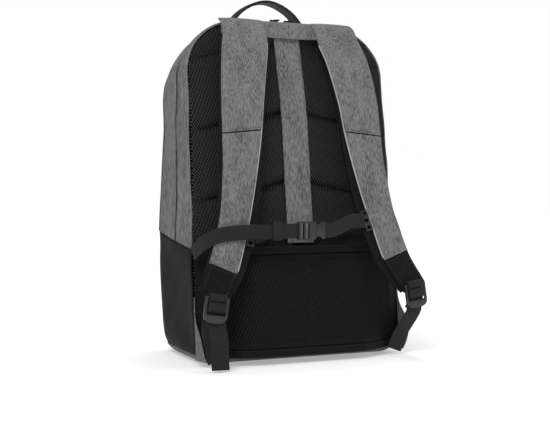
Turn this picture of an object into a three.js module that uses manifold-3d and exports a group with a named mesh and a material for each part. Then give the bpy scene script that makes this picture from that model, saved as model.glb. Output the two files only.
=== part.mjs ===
// Laptop backpack with a padded harness, a luggage sleeve and a sternum strap.
// Millimetres, +Z up. The harness side faces -Y, the bag stands on z = 0.

import * as THREE from "three";
import Module from "manifold-3d";
import { mergeVertices } from "three/addons/utils/BufferGeometryUtils.js";

// Bag
const bagHeight = 480;
const bagWidth = 320;
const baseDepth = 160;
const bagDepth = 182;
const backLean = 60;
const topRadius = 100;
const baseRadius = 26;
const frontCrown = 8;
const wall = 3;
const seamGap = 0.4;
const colourSeamHeight = 176;
const shoulderHeight = 380;
const baseSeamHeight = 14;

// Zippers
const zipWidth = 8;
const zipRecess = 0.8;
const sliderLength = 10;
const sliderWidth = 8;
const sliderThickness = 4;
const sliderSpread = 11;
const pullLength = 12;
const pullWidth = 4;
const pullThickness = 2.4;

// Back panel, centre strip and yoke
const padding = 14;
const panelSink = 6;
const channelSpacing = 98;
const topChannelHeight = 447;
const channelHalf = 7;
const channelDrop = 36;
const stripWidth = 40;
const stripThickness = 2;
const stripFoot = 163;
const yokeWidth = 206;
const yokeFoot = 452;
const yokeStandoff = 22;

// Luggage sleeve
const sleeveTop = 160;
const sleeveFoot = 11;
const sleeveBulge = 39;
const sleeveThickness = 7;
const hemHeight = 11;
const hemThickness = 5;
const sleeveSideInset = 6;
const sleeveRest = 0.6;

// Shoulder straps
const strapWidth = 60;
const strapStandoff = 54;
const coverThickness = 2.4;
const coverStep = 0.8;
const padThickness = 9.5;
const crossSeamHeight = 316;
const tipSeamHeights = { left: 134, right: 145 };
const strapFoot = 102;
const padMargin = 14;

// Ladder locks and lower webbing
const webbingWidth = 25;
const webbingThickness = 1.5;
const lockWidth = 33;
const lockThickness = 3.5;
const lockBar = 3;
const lockSlot = 9;
const lockTab = 11;
const lockSpread = 148;
const lockTilt = 0.16;
const lockHeights = { left: 99, right: 105.5 };
const lockClearance = 5.7;
const anchorSpread = 131;
const anchorHeight = 8;
const anchorTabHeight = 92;
const anchorTabThickness = 2;

// Sternum strap
const sternumWidth = 20;
const sternumHeight = 182;
const sternumStandoff = 48;
const buckleHeight = 25;
const buckleThickness = 5;
const socketLength = 26;
const socketEnd = -3;
const plugLength = 14;
const keeperWidth = 14;
const keeperPlace = -60;
const slideClipWidth = 11;
const slideClipLength = 30;
const slideClipThickness = 4;
const slideClipGaps = { left: 1.7, right: 1 };
const slideClipHeights = { left: 184, right: 200 };

// Top handle
const handleWidth = 25;
const handleThickness = 4;
const handleSpan = 128;
const handleRise = 32;
const handlePlace = 52;

const halfWidth = bagWidth / 2;
const cutReach = 3 * halfWidth;

const wasm = await Module();
wasm.setup();

const finish = (colour, roughness, metalness = 0) =>
  new THREE.MeshStandardMaterial({ color: colour, roughness, metalness });

const cloth = {
  heather: () => finish(0x8d8d8d, 0.9),
  black: () => finish(0x242424, 0.85),
  mesh: () => finish(0x191919, 0.95),
  webbing: () => finish(0x202020, 0.8),
  plastic: () => finish(0x161616, 0.45),
  metal: () => finish(0x2c2c2c, 0.4, 0.8),
};

const backpack = new THREE.Group();

// Meshes and solids

function closedMesh(points, triangles) {
  const geometry = new THREE.BufferGeometry();
  geometry.setAttribute("position", new THREE.Float32BufferAttribute(points.flatMap((p) => p.toArray()), 3));
  geometry.setIndex(triangles.flat());
  return facedOutward(geometry);
}

function facedOutward(geometry) {
  const place = geometry.getAttribute("position");
  const index = geometry.getIndex().array;
  const corner = [new THREE.Vector3(), new THREE.Vector3(), new THREE.Vector3()];
  let volume = 0;
  for (let i = 0; i < index.length; i += 3) {
    corner.forEach((p, k) => p.fromBufferAttribute(place, index[i + k]));
    volume += corner[0].dot(corner[1].cross(corner[2]));
  }
  if (volume < 0) {
    for (let i = 0; i < index.length; i += 3) {
      [index[i], index[i + 1]] = [index[i + 1], index[i]];
    }
  }
  return geometry;
}

function solidOf(geometry) {
  let bare = geometry.clone();
  bare.deleteAttribute("normal");
  bare.deleteAttribute("uv");
  bare = facedOutward(mergeVertices(bare, 1e-4));
  const mesh = new wasm.Mesh({
    numProp: 3,
    vertProperties: new Float32Array(bare.getAttribute("position").array),
    triVerts: new Uint32Array(bare.getIndex().array),
  });
  return new wasm.Manifold(mesh);
}

function geometryOf(solid) {
  const mesh = solid.getMesh();
  const geometry = new THREE.BufferGeometry();
  geometry.setAttribute("position", new THREE.BufferAttribute(new Float32Array(mesh.vertProperties), 3));
  geometry.setIndex(new THREE.BufferAttribute(new Uint32Array(mesh.triVerts), 1));
  return geometry;
}

function addPiece(name, shape, material) {
  const geometry = shape.isBufferGeometry ? shape : geometryOf(shape);
  const mesh = new THREE.Mesh(geometry, material());
  mesh.name = name;
  backpack.add(mesh);
}

// A closed body through rings of equal point count, its two ends closed by fans.
function loft(rings) {
  const count = rings[0].length;
  const points = rings.flat();
  const triangles = [];
  for (let r = 0; r + 1 < rings.length; r += 1) {
    for (let i = 0; i < count; i += 1) {
      const next = (i + 1) % count;
      const [a, b] = [r * count + i, r * count + next];
      triangles.push([a, b, b + count], [a, b + count, a + count]);
    }
  }
  for (const end of [0, rings.length - 1]) {
    const middle = new THREE.Vector3();
    rings[end].forEach((p) => middle.addScaledVector(p, 1 / count));
    points.push(middle);
    for (let i = 0; i < count; i += 1) {
      const edge = [end * count + i, end * count + ((i + 1) % count)];
      triangles.push(end === 0 ? [edge[1], edge[0], points.length - 1] : [...edge, points.length - 1]);
    }
  }
  return closedMesh(points, triangles);
}

// A plate of cloth or padding: at(u, v) gives its front and its back point.
function plate(columns, rows, at) {
  const points = [];
  for (const side of [0, 1]) {
    for (let j = 0; j <= rows; j += 1) {
      for (let i = 0; i <= columns; i += 1) {
        points.push(at(i / columns, j / rows, j)[side]);
      }
    }
  }
  const sheet = (columns + 1) * (rows + 1);
  const id = (i, j, side) => side * sheet + j * (columns + 1) + i;
  const triangles = [];
  for (let j = 0; j < rows; j += 1) {
    for (let i = 0; i < columns; i += 1) {
      const [a, b, c, d] = [[i, j], [i + 1, j], [i + 1, j + 1], [i, j + 1]];
      triangles.push([id(...a, 0), id(...b, 0), id(...c, 0)], [id(...a, 0), id(...c, 0), id(...d, 0)]);
      triangles.push([id(...b, 1), id(...a, 1), id(...c, 1)], [id(...c, 1), id(...a, 1), id(...d, 1)]);
    }
  }
  const rim = [];
  for (let i = 0; i < columns; i += 1) rim.push([i, 0]);
  for (let j = 0; j < rows; j += 1) rim.push([columns, j]);
  for (let i = columns; i > 0; i -= 1) rim.push([i, rows]);
  for (let j = rows; j > 0; j -= 1) rim.push([0, j]);
  rim.forEach((from, k) => {
    const to = rim[(k + 1) % rim.length];
    triangles.push([id(...to, 0), id(...from, 0), id(...from, 1)], [id(...to, 0), id(...from, 1), id(...to, 1)]);
  });
  return closedMesh(points, triangles);
}

// A band along a path: across(v) is its width's direction, and its face points along path x across.
function band(path, across, width, thickness, steps) {
  const curve = new THREE.CatmullRomCurve3(path, false, "centripetal");
  return plate(1, steps, (u, v) => {
    const middle = curve.getPoint(v);
    const frame = frameAlong(curve.getTangent(v), across(v));
    const edge = middle.addScaledVector(frame.across, (u - 0.5) * width);
    return [
      edge.clone().addScaledVector(frame.face, thickness / 2),
      edge.clone().addScaledVector(frame.face, -thickness / 2),
    ];
  });
}

function frameAlong(tangent, hint) {
  const along = tangent.clone().normalize();
  const across = hint.clone().addScaledVector(along, -hint.dot(along)).normalize();
  return { along, across, face: along.clone().cross(across) };
}

// Tables

const mix = (a, b, t) => a + (b - a) * t;
const clamp = (t) => Math.min(1, Math.max(0, t));
const ease = (t) => 1 - (1 - clamp(t)) ** 2;
const smooth = (t) => clamp(t) ** 2 * (3 - 2 * clamp(t));

// Reads a column of a table at a key by a cubic with the table's own slopes.
function look(table, key, column, x) {
  const rows = table;
  if (x <= rows[0][key]) return rows[0][column];
  if (x >= rows[rows.length - 1][key]) return rows[rows.length - 1][column];
  const i = rows.findIndex((row, n) => n > 0 && x <= row[key]) - 1;
  const slope = (n) => {
    const [a, b] = [rows[Math.max(0, n - 1)], rows[Math.min(rows.length - 1, n + 1)]];
    return (b[column] - a[column]) / (b[key] - a[key]);
  };
  const span = rows[i + 1][key] - rows[i][key];
  const t = (x - rows[i][key]) / span;
  const [a, b] = [rows[i][column], rows[i + 1][column]];
  return (
    a * (1 + 2 * t) * (1 - t) ** 2 +
    slope(i) * span * t * (1 - t) ** 2 +
    b * t * t * (3 - 2 * t) +
    slope(i + 1) * span * t * t * (t - 1)
  );
}

// The bag's sides in profile: the back leans, the front swells to a belly.
const frontProfile = [
  { up: 0, deep: 0.879 },
  { up: 0.062, deep: 0.923 },
  { up: 0.206, deep: 0.973 },
  { up: 0.41, deep: 1 },
  { up: 0.617, deep: 1 },
  { up: 0.78, deep: 0.984 },
  { up: 0.885, deep: 0.967 },
  { up: 1, deep: 0.945 },
];
const backAt = (z) => -baseDepth / 2 + (backLean * z) / bagHeight;
const frontAt = (z) => -baseDepth / 2 + bagDepth * look(frontProfile, "up", "deep", z / bagHeight);

// Sections from the back to the front. deep is a share of the depth, top of the height, base, seam and
// shoulder of half the width, lift of the base radius, and round and spread of the top radius: the upper
// corners' height and width.
const sections = [
  { deep: 0, top: 0.985, base: 0.99, seam: 0.985, shoulder: 0.957, round: 0.74, spread: 0.76, lift: 0.3 },
  { deep: 0.05, top: 0.989, base: 0.99, seam: 0.99, shoulder: 0.965, round: 0.76, spread: 0.82, lift: 0.1 },
  { deep: 0.11, top: 0.994, base: 0.985, seam: 0.993, shoulder: 0.97, round: 0.8, spread: 0.92, lift: 0 },
  { deep: 0.35, top: 1, base: 0.985, seam: 0.998, shoulder: 0.97, round: 0.9, spread: 1.24, lift: 0 },
  { deep: 0.62, top: 0.996, base: 0.985, seam: 1, shoulder: 0.955, round: 0.93, spread: 1.3, lift: 0 },
  { deep: 0.8, top: 0.972, base: 0.98, seam: 1, shoulder: 0.94, round: 0.94, spread: 1.3, lift: 0 },
  { deep: 0.9, top: 0.95, base: 0.955, seam: 0.975, shoulder: 0.915, round: 0.95, spread: 1.26, lift: 0.1 },
  { deep: 0.96, top: 0.92, base: 0.915, seam: 0.93, shoulder: 0.87, round: 0.94, spread: 1.18, lift: 0.3 },
  { deep: 1, top: 0.88, base: 0.84, seam: 0.85, shoulder: 0.79, round: 0.88, spread: 1.05, lift: 0.75 },
];
const faceRings = [
  { scale: 0.62, crown: 0.7 },
  { scale: 0.22, crown: 1 },
];

function halfAt(row, z) {
  if (z <= colourSeamHeight) {
    return halfWidth * mix(row.seam, row.base, ease((colourSeamHeight - z) / colourSeamHeight));
  }
  return halfWidth * mix(row.seam, row.shoulder, ease((z - colourSeamHeight) / (shoulderHeight - colourSeamHeight)));
}

// Half of a section's outline, from the middle of its base round to the middle of its top, as [x, z].
function halfOutline(row, inset) {
  const foot = row.lift * baseRadius + inset;
  const top = row.top * bagHeight - inset;
  const low = baseRadius - inset;
  const high = row.round * topRadius - inset;
  const wide = row.spread * topRadius - inset;
  const arcSteps = { low: 4, side: 6, high: 7 };
  const points = [[0, foot]];
  const lowHalf = halfAt(row, foot + low) - inset;
  points.push([(lowHalf - low) / 2, foot]);
  for (let i = 0; i <= arcSteps.low; i += 1) {
    const turn = ((i / arcSteps.low) * Math.PI) / 2;
    points.push([lowHalf - low + low * Math.sin(turn), foot + low - low * Math.cos(turn)]);
  }
  for (let i = 1; i < arcSteps.side; i += 1) {
    const z = mix(foot + low, top - high, i / arcSteps.side);
    points.push([halfAt(row, z) - inset, z]);
  }
  const highHalf = halfAt(row, top - high) - inset;
  for (let i = 0; i <= arcSteps.high; i += 1) {
    const turn = ((i / arcSteps.high) * Math.PI) / 2;
    points.push([highHalf - wide + wide * Math.cos(turn), top - high + high * Math.sin(turn)]);
  }
  points.push([(highHalf - wide) / 2, top], [0, top]);
  return points;
}

function outline(row, inset) {
  const half = halfOutline(row, inset);
  const mirrored = half.slice(1, -1).reverse().map(([x, z]) => [-x, z]);
  return [...half, ...mirrored];
}

// The bag's outer form, or with an inset the form inside its wall, run out past the back to open it.
function bagForm(inset) {
  const depth = (z) => frontAt(z) - inset - backAt(z);
  const rings = sections.map((row, n) => {
    const open = n === 0 && inset > 0 ? 4 * wall : 0;
    return outline(row, inset).map(([x, z]) => new THREE.Vector3(x, backAt(z) + row.deep * depth(z) - open, z));
  });
  const rim = rings[rings.length - 1];
  const middle = bagHeight / 2;
  for (const { scale, crown } of faceRings) {
    rings.push(
      rim.map((p) => {
        const z = middle + (p.z - middle) * scale;
        return new THREE.Vector3(p.x * scale, frontAt(z) - inset + frontCrown * crown, z);
      }),
    );
  }
  return solidOf(loft(rings));
}

// A prism across the bag's whole width over a closed outline of [y, z] points.
function crossPrism(points) {
  const shape = new THREE.Shape(points.map(([y, z]) => new THREE.Vector2(y, z)));
  const geometry = new THREE.ExtrudeGeometry(shape, { depth: 2 * cutReach, bevelEnabled: false });
  const turn = new THREE.Matrix4().makeBasis(
    new THREE.Vector3(0, 1, 0),
    new THREE.Vector3(0, 0, 1),
    new THREE.Vector3(1, 0, 0),
  );
  geometry.applyMatrix4(turn).translate(-cutReach, 0, 0);
  return solidOf(geometry);
}

// The two zippers' lines up the side: deep is a share of the bag's depth from its rear foot.
const laptopZip = [
  { up: -0.2, deep: 0.418 },
  { up: 0.32, deep: 0.418 },
  { up: 0.43, deep: 0.426 },
  { up: 0.54, deep: 0.448 },
  { up: 0.66, deep: 0.473 },
  { up: 0.8, deep: 0.475 },
  { up: 0.9, deep: 0.462 },
  { up: 1, deep: 0.404 },
  { up: 1.2, deep: 0.396 },
];
const mainZip = [
  { up: -0.2, deep: 0.9 },
  { up: 0.32, deep: 0.9 },
  { up: 0.62, deep: 0.892 },
  { up: 0.86, deep: 0.862 },
  { up: 1, deep: 0.818 },
  { up: 1.2, deep: 0.818 },
];
const depthAt = (deep) => bagDepth * deep - baseDepth / 2;
const zipAt = (table, z) => depthAt(look(table, "up", "deep", z / bagHeight));

// Points up a zipper's line, moved along Y by shift.
function zipLine(table, shift) {
  return table.map((row) => [depthAt(row.deep) + shift, bagHeight * row.up]);
}

// The seam between the grey cloth and the black, which rises from the back to the front.
const colourSeam = [
  { deep: -0.9, up: 0.89 },
  { deep: 0.11, up: 0.89 },
  { deep: 0.835, up: 1 },
  { deep: 1.8, up: 1.02 },
];
const seamLine = (shift) => colourSeam.map((row) => [depthAt(row.deep), colourSeamHeight * row.up + shift]);

function buildBag() {
  const inside = bagForm(wall);
  const shell = bagForm(0).subtract(inside);
  const zipShell = bagForm(zipRecess).subtract(inside);
  const high = 1.2 * bagHeight;
  const far = 1.5 * baseDepth;
  const half = seamGap / 2;
  const clear = zipWidth / 2 + half;
  const tape = zipWidth / 2 - half;
  const aboveSeam = crossPrism([...seamLine(half), [far, high], [-far, high]]);
  const belowSeam = crossPrism([[-far, baseSeamHeight + half], [far, baseSeamHeight + half], ...seamLine(-half).reverse()]);
  const belowBase = crossPrism([[-far, -far], [far, -far], [far, baseSeamHeight - half], [-far, baseSeamHeight - half]]);
  const between = (back, front) => crossPrism([...back.slice().reverse(), ...front]);
  const rear = [[-far, -0.2 * bagHeight], [-far, high]];
  const front = [[far, -0.2 * bagHeight], [far, high]];
  const upper = shell.intersect(aboveSeam);
  addPiece("rear_gusset", upper.intersect(between(rear, zipLine(laptopZip, -clear))), cloth.heather);
  addPiece("main_gusset", upper.intersect(between(zipLine(laptopZip, clear), zipLine(mainZip, -clear))), cloth.heather);
  addPiece("front_panel", upper.intersect(between(zipLine(mainZip, clear), front)), cloth.heather);
  const tapes = zipShell.intersect(aboveSeam);
  addPiece("laptop_zipper", tapes.intersect(between(zipLine(laptopZip, -tape), zipLine(laptopZip, tape))), cloth.black);
  addPiece("main_zipper", tapes.intersect(between(zipLine(mainZip, -tape), zipLine(mainZip, tape))), cloth.black);
  addPiece("lower_shell", shell.intersect(belowSeam), cloth.black);
  addPiece("base_panel", shell.intersect(belowBase), cloth.heather);
}

// How far the padding stands off the back plane, before its channels.
function padRise(x, z) {
  const sides = 1 - (Math.abs(x) / (0.99 * halfWidth)) ** 6;
  const crown = mix(1, 0.09, smooth((z / bagHeight - 0.68) / 0.28));
  const foot = mix(0.2, 1, smooth((z - sleeveTop) / (2 * hemHeight)));
  return padding * Math.max(0, sides) * crown * foot;
}

// Rows of the padding. from counts channel spacings down from the top channel, half counts channel
// half widths from there, rise is a share of the padding and vee of the channels' drop to the sides.
const padRows = [
  { from: -0.9, half: 0, rise: 1, vee: 1 },
  { from: -0.3, half: 0, rise: 1, vee: 1 },
  { from: 0, half: -1, rise: 0.9, vee: 1 },
  { from: 0, half: 0, rise: 0.5, vee: 1 },
  { from: 0, half: 1, rise: 0.9, vee: 1 },
  { from: 0.35, half: 0, rise: 1, vee: 1 },
  { from: 0.65, half: 0, rise: 1, vee: 1 },
  { from: 1, half: -1, rise: 0.9, vee: 1 },
  { from: 1, half: 0, rise: 0.5, vee: 1 },
  { from: 1, half: 1, rise: 0.9, vee: 1 },
  { from: 1.35, half: 0, rise: 1, vee: 1 },
  { from: 1.65, half: 0, rise: 1, vee: 1 },
  { from: 2, half: -1, rise: 0.9, vee: 1 },
  { from: 2, half: 0, rise: 0.5, vee: 1 },
  { from: 2, half: 1, rise: 0.9, vee: 1 },
  { from: 2.4, half: 0, rise: 1, vee: 0.5 },
  { from: 2.7, half: 0, rise: 1, vee: 0 },
  { from: 2.94, half: 0, rise: 1, vee: 0 },
  { from: 3.7, half: 0, rise: 1, vee: 0 },
  { from: 4.8, half: 0, rise: 1, vee: 0 },
];

function buildBackPanel() {
  const columns = 14;
  const reach = 1.05 * halfWidth;
  const relief = plate(columns, padRows.length - 1, (u, v, j) => {
    const row = padRows[j];
    const x = mix(-reach, reach, u);
    const drop = row.vee * channelDrop * (Math.abs(x) / reach);
    const z = topChannelHeight - row.from * channelSpacing - row.half * channelHalf - drop;
    return [
      new THREE.Vector3(x, backAt(z) - padRise(x, z) * row.rise, z),
      new THREE.Vector3(x, backAt(z) + panelSink, z),
    ];
  });
  const rim = outline(sections[0], wall + seamGap);
  const shape = new THREE.Shape(rim.map(([x, z]) => new THREE.Vector2(x, z)));
  const opening = new THREE.ExtrudeGeometry(shape, { depth: 2 * baseDepth, bevelEnabled: false });
  opening.rotateX(Math.PI / 2).translate(0, baseDepth / 2, 0);
  addPiece("back_panel", solidOf(relief).intersect(solidOf(opening)), cloth.mesh);
}

// The strip rests on the pads and hangs straight from the lowest of them.
const stripRest = (z) => backAt(z) - padRise(0, Math.max(z, sleeveTop + 2 * hemHeight)) - 1.5 * seamGap;

function buildCentreStrip() {
  const rows = 12;
  const strip = plate(2, rows, (u, v) => {
    const z = mix(yokeFoot - seamGap, stripFoot, v);
    const x = (u - 0.5) * stripWidth;
    return [new THREE.Vector3(x, stripRest(z) - stripThickness, z), new THREE.Vector3(x, stripRest(z), z)];
  });
  addPiece("centre_strip", strip, cloth.heather);
}

// The yoke from its top seam down. up is a share of the bag's height and wide of the yoke's width. Front and
// back are shares of the yoke's standoff where the straps leave it, and the middle ones in between.
const yokeRows = [
  { up: 0.996, wide: 0.965, front: -0.34, frontMiddle: -0.34, back: -0.36, backMiddle: -0.36, drop: 0.0045 },
  { up: 0.991, wide: 0.972, front: 0.19, frontMiddle: 0.17, back: 0.02, backMiddle: 0.02, drop: 0.0062 },
  { up: 0.973, wide: 0.985, front: 0.72, frontMiddle: 0.31, back: 0.3, backMiddle: 0.16, drop: 0.003 },
  { up: 0.942, wide: 1, front: 1, frontMiddle: 0.4, back: 0.44, backMiddle: 0.26, drop: 0 },
];

function buildYoke() {
  const yoke = plate(12, yokeRows.length - 1, (u, v, j) => {
    const row = yokeRows[j];
    const x = (u - 0.5) * yokeWidth * row.wide;
    const strap = smooth((Math.abs(x) / yokeWidth - 0.12) / 0.12);
    const z = j === yokeRows.length - 1 ? yokeFoot : row.up * bagHeight;
    const low = z - row.drop * bagHeight;
    const front = yokeStandoff * mix(row.frontMiddle, row.front, strap);
    const back = yokeStandoff * mix(row.backMiddle, row.back, strap);
    return [new THREE.Vector3(x, backAt(z) - front, z), new THREE.Vector3(x, backAt(low) - back, low)];
  });
  addPiece("yoke", yoke, cloth.heather);
}

// The luggage sleeve: it lies flat over a trolley's two tubes and comes back to the side seams.
const sleeveHalf = halfWidth - sleeveSideInset;

function sleeveInside(x, z) {
  const flat = 0.42;
  const side = clamp((Math.abs(x) / sleeveHalf - flat) / (1 - flat));
  const room = (sleeveBulge - sleeveThickness - padRise(0, z) - sleeveRest) * mix(1, 0.86, z / sleeveTop);
  return backAt(z) - padRise(x, z) - sleeveRest - room * (1 - smooth(side) ** 1.2);
}

function sleeveBand(low, high, rows, thickness) {
  const columns = 20;
  return plate(columns, rows, (u, v) => {
    const x = mix(-sleeveHalf, sleeveHalf, u);
    const z = mix(high, low, v);
    const side = clamp((Math.abs(x) / sleeveHalf - 0.9) / 0.1);
    const inside = sleeveInside(x, z) - (sleeveThickness - thickness) / 2;
    return [new THREE.Vector3(x, inside - thickness * mix(1, 0.35, side), z), new THREE.Vector3(x, inside, z)];
  });
}

function buildSleeve() {
  const top = sleeveTop - hemHeight;
  const foot = sleeveFoot + hemHeight;
  addPiece("sleeve_panel", sleeveBand(foot + seamGap, top - seamGap, 5, sleeveThickness), cloth.mesh);
  addPiece("sleeve_hem_top", sleeveBand(top, sleeveTop, 1, hemThickness), cloth.black);
  addPiece("sleeve_hem_foot", sleeveBand(sleeveFoot, foot, 1, hemThickness), cloth.black);
}

// A shoulder strap from its foot to the yoke. up is a share of the bag's height, out of half its width, off of
// the strap's standoff, half of half its width, margin of the black edge inside the cover, and skew is
// how far its sections drop outward.
const strapRows = [
  { up: 0.192, out: 0.96, off: 1.19, half: 0.66, margin: 0.1, thick: 0.4, skew: 0 },
  { up: 0.213, out: 0.937, off: 1.17, half: 0.66, margin: 0.2, thick: 0.4, skew: 0 },
  { up: 0.292, out: 0.819, off: 1.03, half: 0.69, margin: 0.8, thick: 0.75, skew: 0 },
  { up: 0.396, out: 0.719, off: 0.98, half: 0.69, margin: 1, thick: 1, skew: 0 },
  { up: 0.443, out: 0.681, off: 0.94, half: 0.72, margin: 0.95, thick: 1, skew: 0.08 },
  { up: 0.569, out: 0.612, off: 0.87, half: 0.84, margin: 0.6, thick: 1, skew: 0.18 },
  { up: 0.658, out: 0.579, off: 0.83, half: 0.95, margin: 0.3, thick: 1, skew: 0.2 },
  { up: 0.752, out: 0.555, off: 0.79, half: 1.03, margin: 0.15, thick: 1, skew: 0.16 },
  { up: 0.873, out: 0.5, off: 0.63, half: 1.1, margin: 0.05, thick: 1, skew: 0.06 },
  { up: 0.934, out: 0.455, off: 0.44, half: 1.1, margin: 0, thick: 1, skew: 0 },
  { up: 0.972, out: 0.44, off: 0.3, half: 1.1, margin: 0, thick: 1, skew: 0 },
];

// The strap's middle on its face, its direction down and its sizes, at height z.
function strapAt(z, side) {
  const read = (column, height) => look(strapRows, "up", column, height / bagHeight);
  const place = (height) =>
    new THREE.Vector3(
      side * halfWidth * read("out", height),
      backAt(height) - strapStandoff * read("off", height),
      height,
    );
  const tangent = place(z - 1).sub(place(z + 1));
  const frame = frameAlong(tangent, new THREE.Vector3(side, 0, 0));
  if (frame.face.y > 0) frame.face.negate();
  return {
    middle: place(z),
    ...frame,
    across: frame.across.clone().addScaledVector(frame.along, read("skew", z)),
    half: (strapWidth / 2) * read("half", z),
    margin: padMargin * read("margin", z),
    thickness: padThickness * read("thick", z),
  };
}

// Heights of a strap's sections, shared by all its layers, with its seams among them.
const strapStart = yokeFoot + 0.23 * strapWidth;
const strapHeights = (tipSeam) => [
  ...[
    [strapStart, crossSeamHeight, 8],
    [crossSeamHeight, tipSeam, 8],
    [tipSeam, strapFoot, 4],
  ].flatMap(([high, low, count]) => Array.from({ length: count }, (_, i) => mix(high, low, i / count))),
  strapFoot,
];

// One layer of a strap between two heights. sizes gives its reach outward and inward, its front and its
// back from the strap's face, and how much its edges are rounded.
function strapLayer(side, name, high, low, sizes) {
  const heights = strapHeights(tipSeamHeights[name]).filter((z) => z <= high && z >= low);
  const places = [-1, -0.85, 0, 0.85, 1];
  return plate(places.length - 1, heights.length - 1, (u, v, j) => {
    const last = j === heights.length - 1 && low > strapFoot;
    const strap = strapAt(heights[j] + (last ? seamGap : 0), side);
    const layer = sizes(strap);
    const place = places[Math.round(u * (places.length - 1))];
    const reach = place < 0 ? place * layer.inward : place * layer.outward;
    const rolled = Math.abs(place) === 1 ? layer.roll : 0;
    const middle = strap.middle.clone().addScaledVector(strap.across, reach);
    return [
      middle.clone().addScaledVector(strap.face, layer.front - rolled),
      middle.clone().addScaledVector(strap.face, layer.back + rolled),
    ];
  });
}

function buildStrap(side, name) {
  const belowYoke = crossPrism([
    [-2 * baseDepth, -bagHeight],
    [2 * baseDepth, -bagHeight],
    [2 * baseDepth, yokeFoot - seamGap],
    [-2 * baseDepth, yokeFoot - seamGap],
  ]);
  const cover = (raise) => (strap) => ({
    outward: strap.half,
    inward: strap.half,
    front: raise,
    back: -coverThickness,
    roll: 0.3 * coverThickness,
  });
  const pad = (strap) => ({
    outward: strap.half + 1.5,
    inward: strap.half + strap.margin,
    front: -coverThickness - seamGap,
    back: -coverThickness - seamGap - strap.thickness,
    roll: 0.3 * strap.thickness,
  });
  const below = (layer) => solidOf(layer).intersect(belowYoke);
  addPiece(`strap_pad_${name}`, below(strapLayer(side, name, strapStart, strapFoot, pad)), cloth.black);
  const tipSeam = tipSeamHeights[name];
  const upper = strapLayer(side, name, strapStart, crossSeamHeight, cover(coverStep));
  addPiece(`strap_upper_${name}`, below(upper), cloth.heather);
  addPiece(`strap_lower_${name}`, strapLayer(side, name, crossSeamHeight, tipSeam, cover(0)), cloth.heather);
  addPiece(`strap_tip_${name}`, strapLayer(side, name, tipSeam, strapFoot, cover(0)), cloth.black);
}

// A ladder lock's frame: its origin is the middle of the top edge, up runs against the pull.
function lockFrame(side, name) {
  const lockHeight = lockHeights[name];
  const up = new THREE.Vector3(-side * lockTilt, 0, 1).normalize();
  const across = new THREE.Vector3(up.z, 0, -up.x);
  return {
    origin: new THREE.Vector3(side * lockSpread, strapAt(lockHeight, side).middle.y - lockClearance, lockHeight),
    across,
    up,
    face: across.clone().cross(up),
  };
}

function inFrame(frame, up, face, across = 0) {
  return frame.origin
    .clone()
    .addScaledVector(frame.up, up)
    .addScaledVector(frame.face, face)
    .addScaledVector(frame.across, across);
}

function placed(geometry, frame) {
  const basis = new THREE.Matrix4().makeBasis(frame.across, frame.up, frame.face);
  return geometry.applyMatrix4(basis.setPosition(frame.origin));
}

// A flat moulded plate of a shape with rectangular slots cut through, each [left, right, low, high].
function slottedPlate(shape, thickness, slots, frame) {
  const flat = new THREE.ExtrudeGeometry(shape, { depth: thickness, bevelEnabled: false, curveSegments: 5 });
  const body = solidOf(placed(flat.translate(0, 0, -thickness / 2), frame));
  return slots.reduce((rest, [left, right, low, high]) => {
    const cutter = new THREE.BoxGeometry(right - left, high - low, 2 * thickness);
    cutter.translate((left + right) / 2, (low + high) / 2, 0);
    return rest.subtract(solidOf(placed(cutter, frame)));
  }, body);
}

const firstSlot = -lockBar;
const middleBar = firstSlot - lockSlot;
const secondSlot = middleBar - lockBar;
const tabTop = secondSlot - lockSlot;

function buildLock(side, name) {
  const frame = lockFrame(side, name);
  const half = lockWidth / 2;
  const shape = new THREE.Shape();
  shape.moveTo(-half, 0);
  shape.lineTo(-half, tabTop - 1);
  shape.quadraticCurveTo(-half, tabTop - lockTab, 0, tabTop - lockTab);
  shape.quadraticCurveTo(half, tabTop - lockTab, half, tabTop - 1);
  shape.lineTo(half, 0);
  const slotHalf = webbingWidth / 2 + 0.75;
  const slots = [firstSlot, secondSlot].map((top) => [-slotHalf, slotHalf, top - lockSlot, top]);
  addPiece(`ladder_lock_${name}`, slottedPlate(shape, lockThickness, slots, frame), cloth.plastic);
}

// The loop of webbing that holds the lock by its top bar.
function buildLockLoop(side, name) {
  const frame = lockFrame(side, name);
  const turns = 12;
  const rise = 4.2;
  const swing = lockThickness / 2 + 1.2 + webbingThickness / 2;
  const middle = -lockBar / 2 + 0.7;
  const rings = [];
  for (const reach of [swing - webbingThickness / 2, swing + webbingThickness / 2]) {
    const grow = reach - swing;
    for (const edge of [-webbingWidth / 2, webbingWidth / 2]) {
      rings.push(
        Array.from({ length: turns }, (_, i) => {
          const turn = (i / turns) * 2 * Math.PI;
          return inFrame(frame, middle + (rise + grow) * Math.cos(turn), reach * Math.sin(turn), edge);
        }),
      );
    }
  }
  const [innerLeft, innerRight, outerLeft, outerRight] = rings;
  addPiece(`lock_loop_${name}`, tubeWall([outerLeft, outerRight, innerRight, innerLeft]), cloth.webbing);
}

// A closed tube whose wall runs round four rings, joined each to the next and the last to the first.
function tubeWall(rings) {
  const count = rings[0].length;
  const triangles = [];
  rings.forEach((ring, r) => {
    const next = (r + 1) % rings.length;
    for (let i = 0; i < count; i += 1) {
      const [a, b] = [r * count + i, r * count + ((i + 1) % count)];
      const [c, d] = [next * count + ((i + 1) % count), next * count + i];
      triangles.push([a, b, c], [a, c, d]);
    }
  });
  return closedMesh(rings.flat(), triangles);
}

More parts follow.
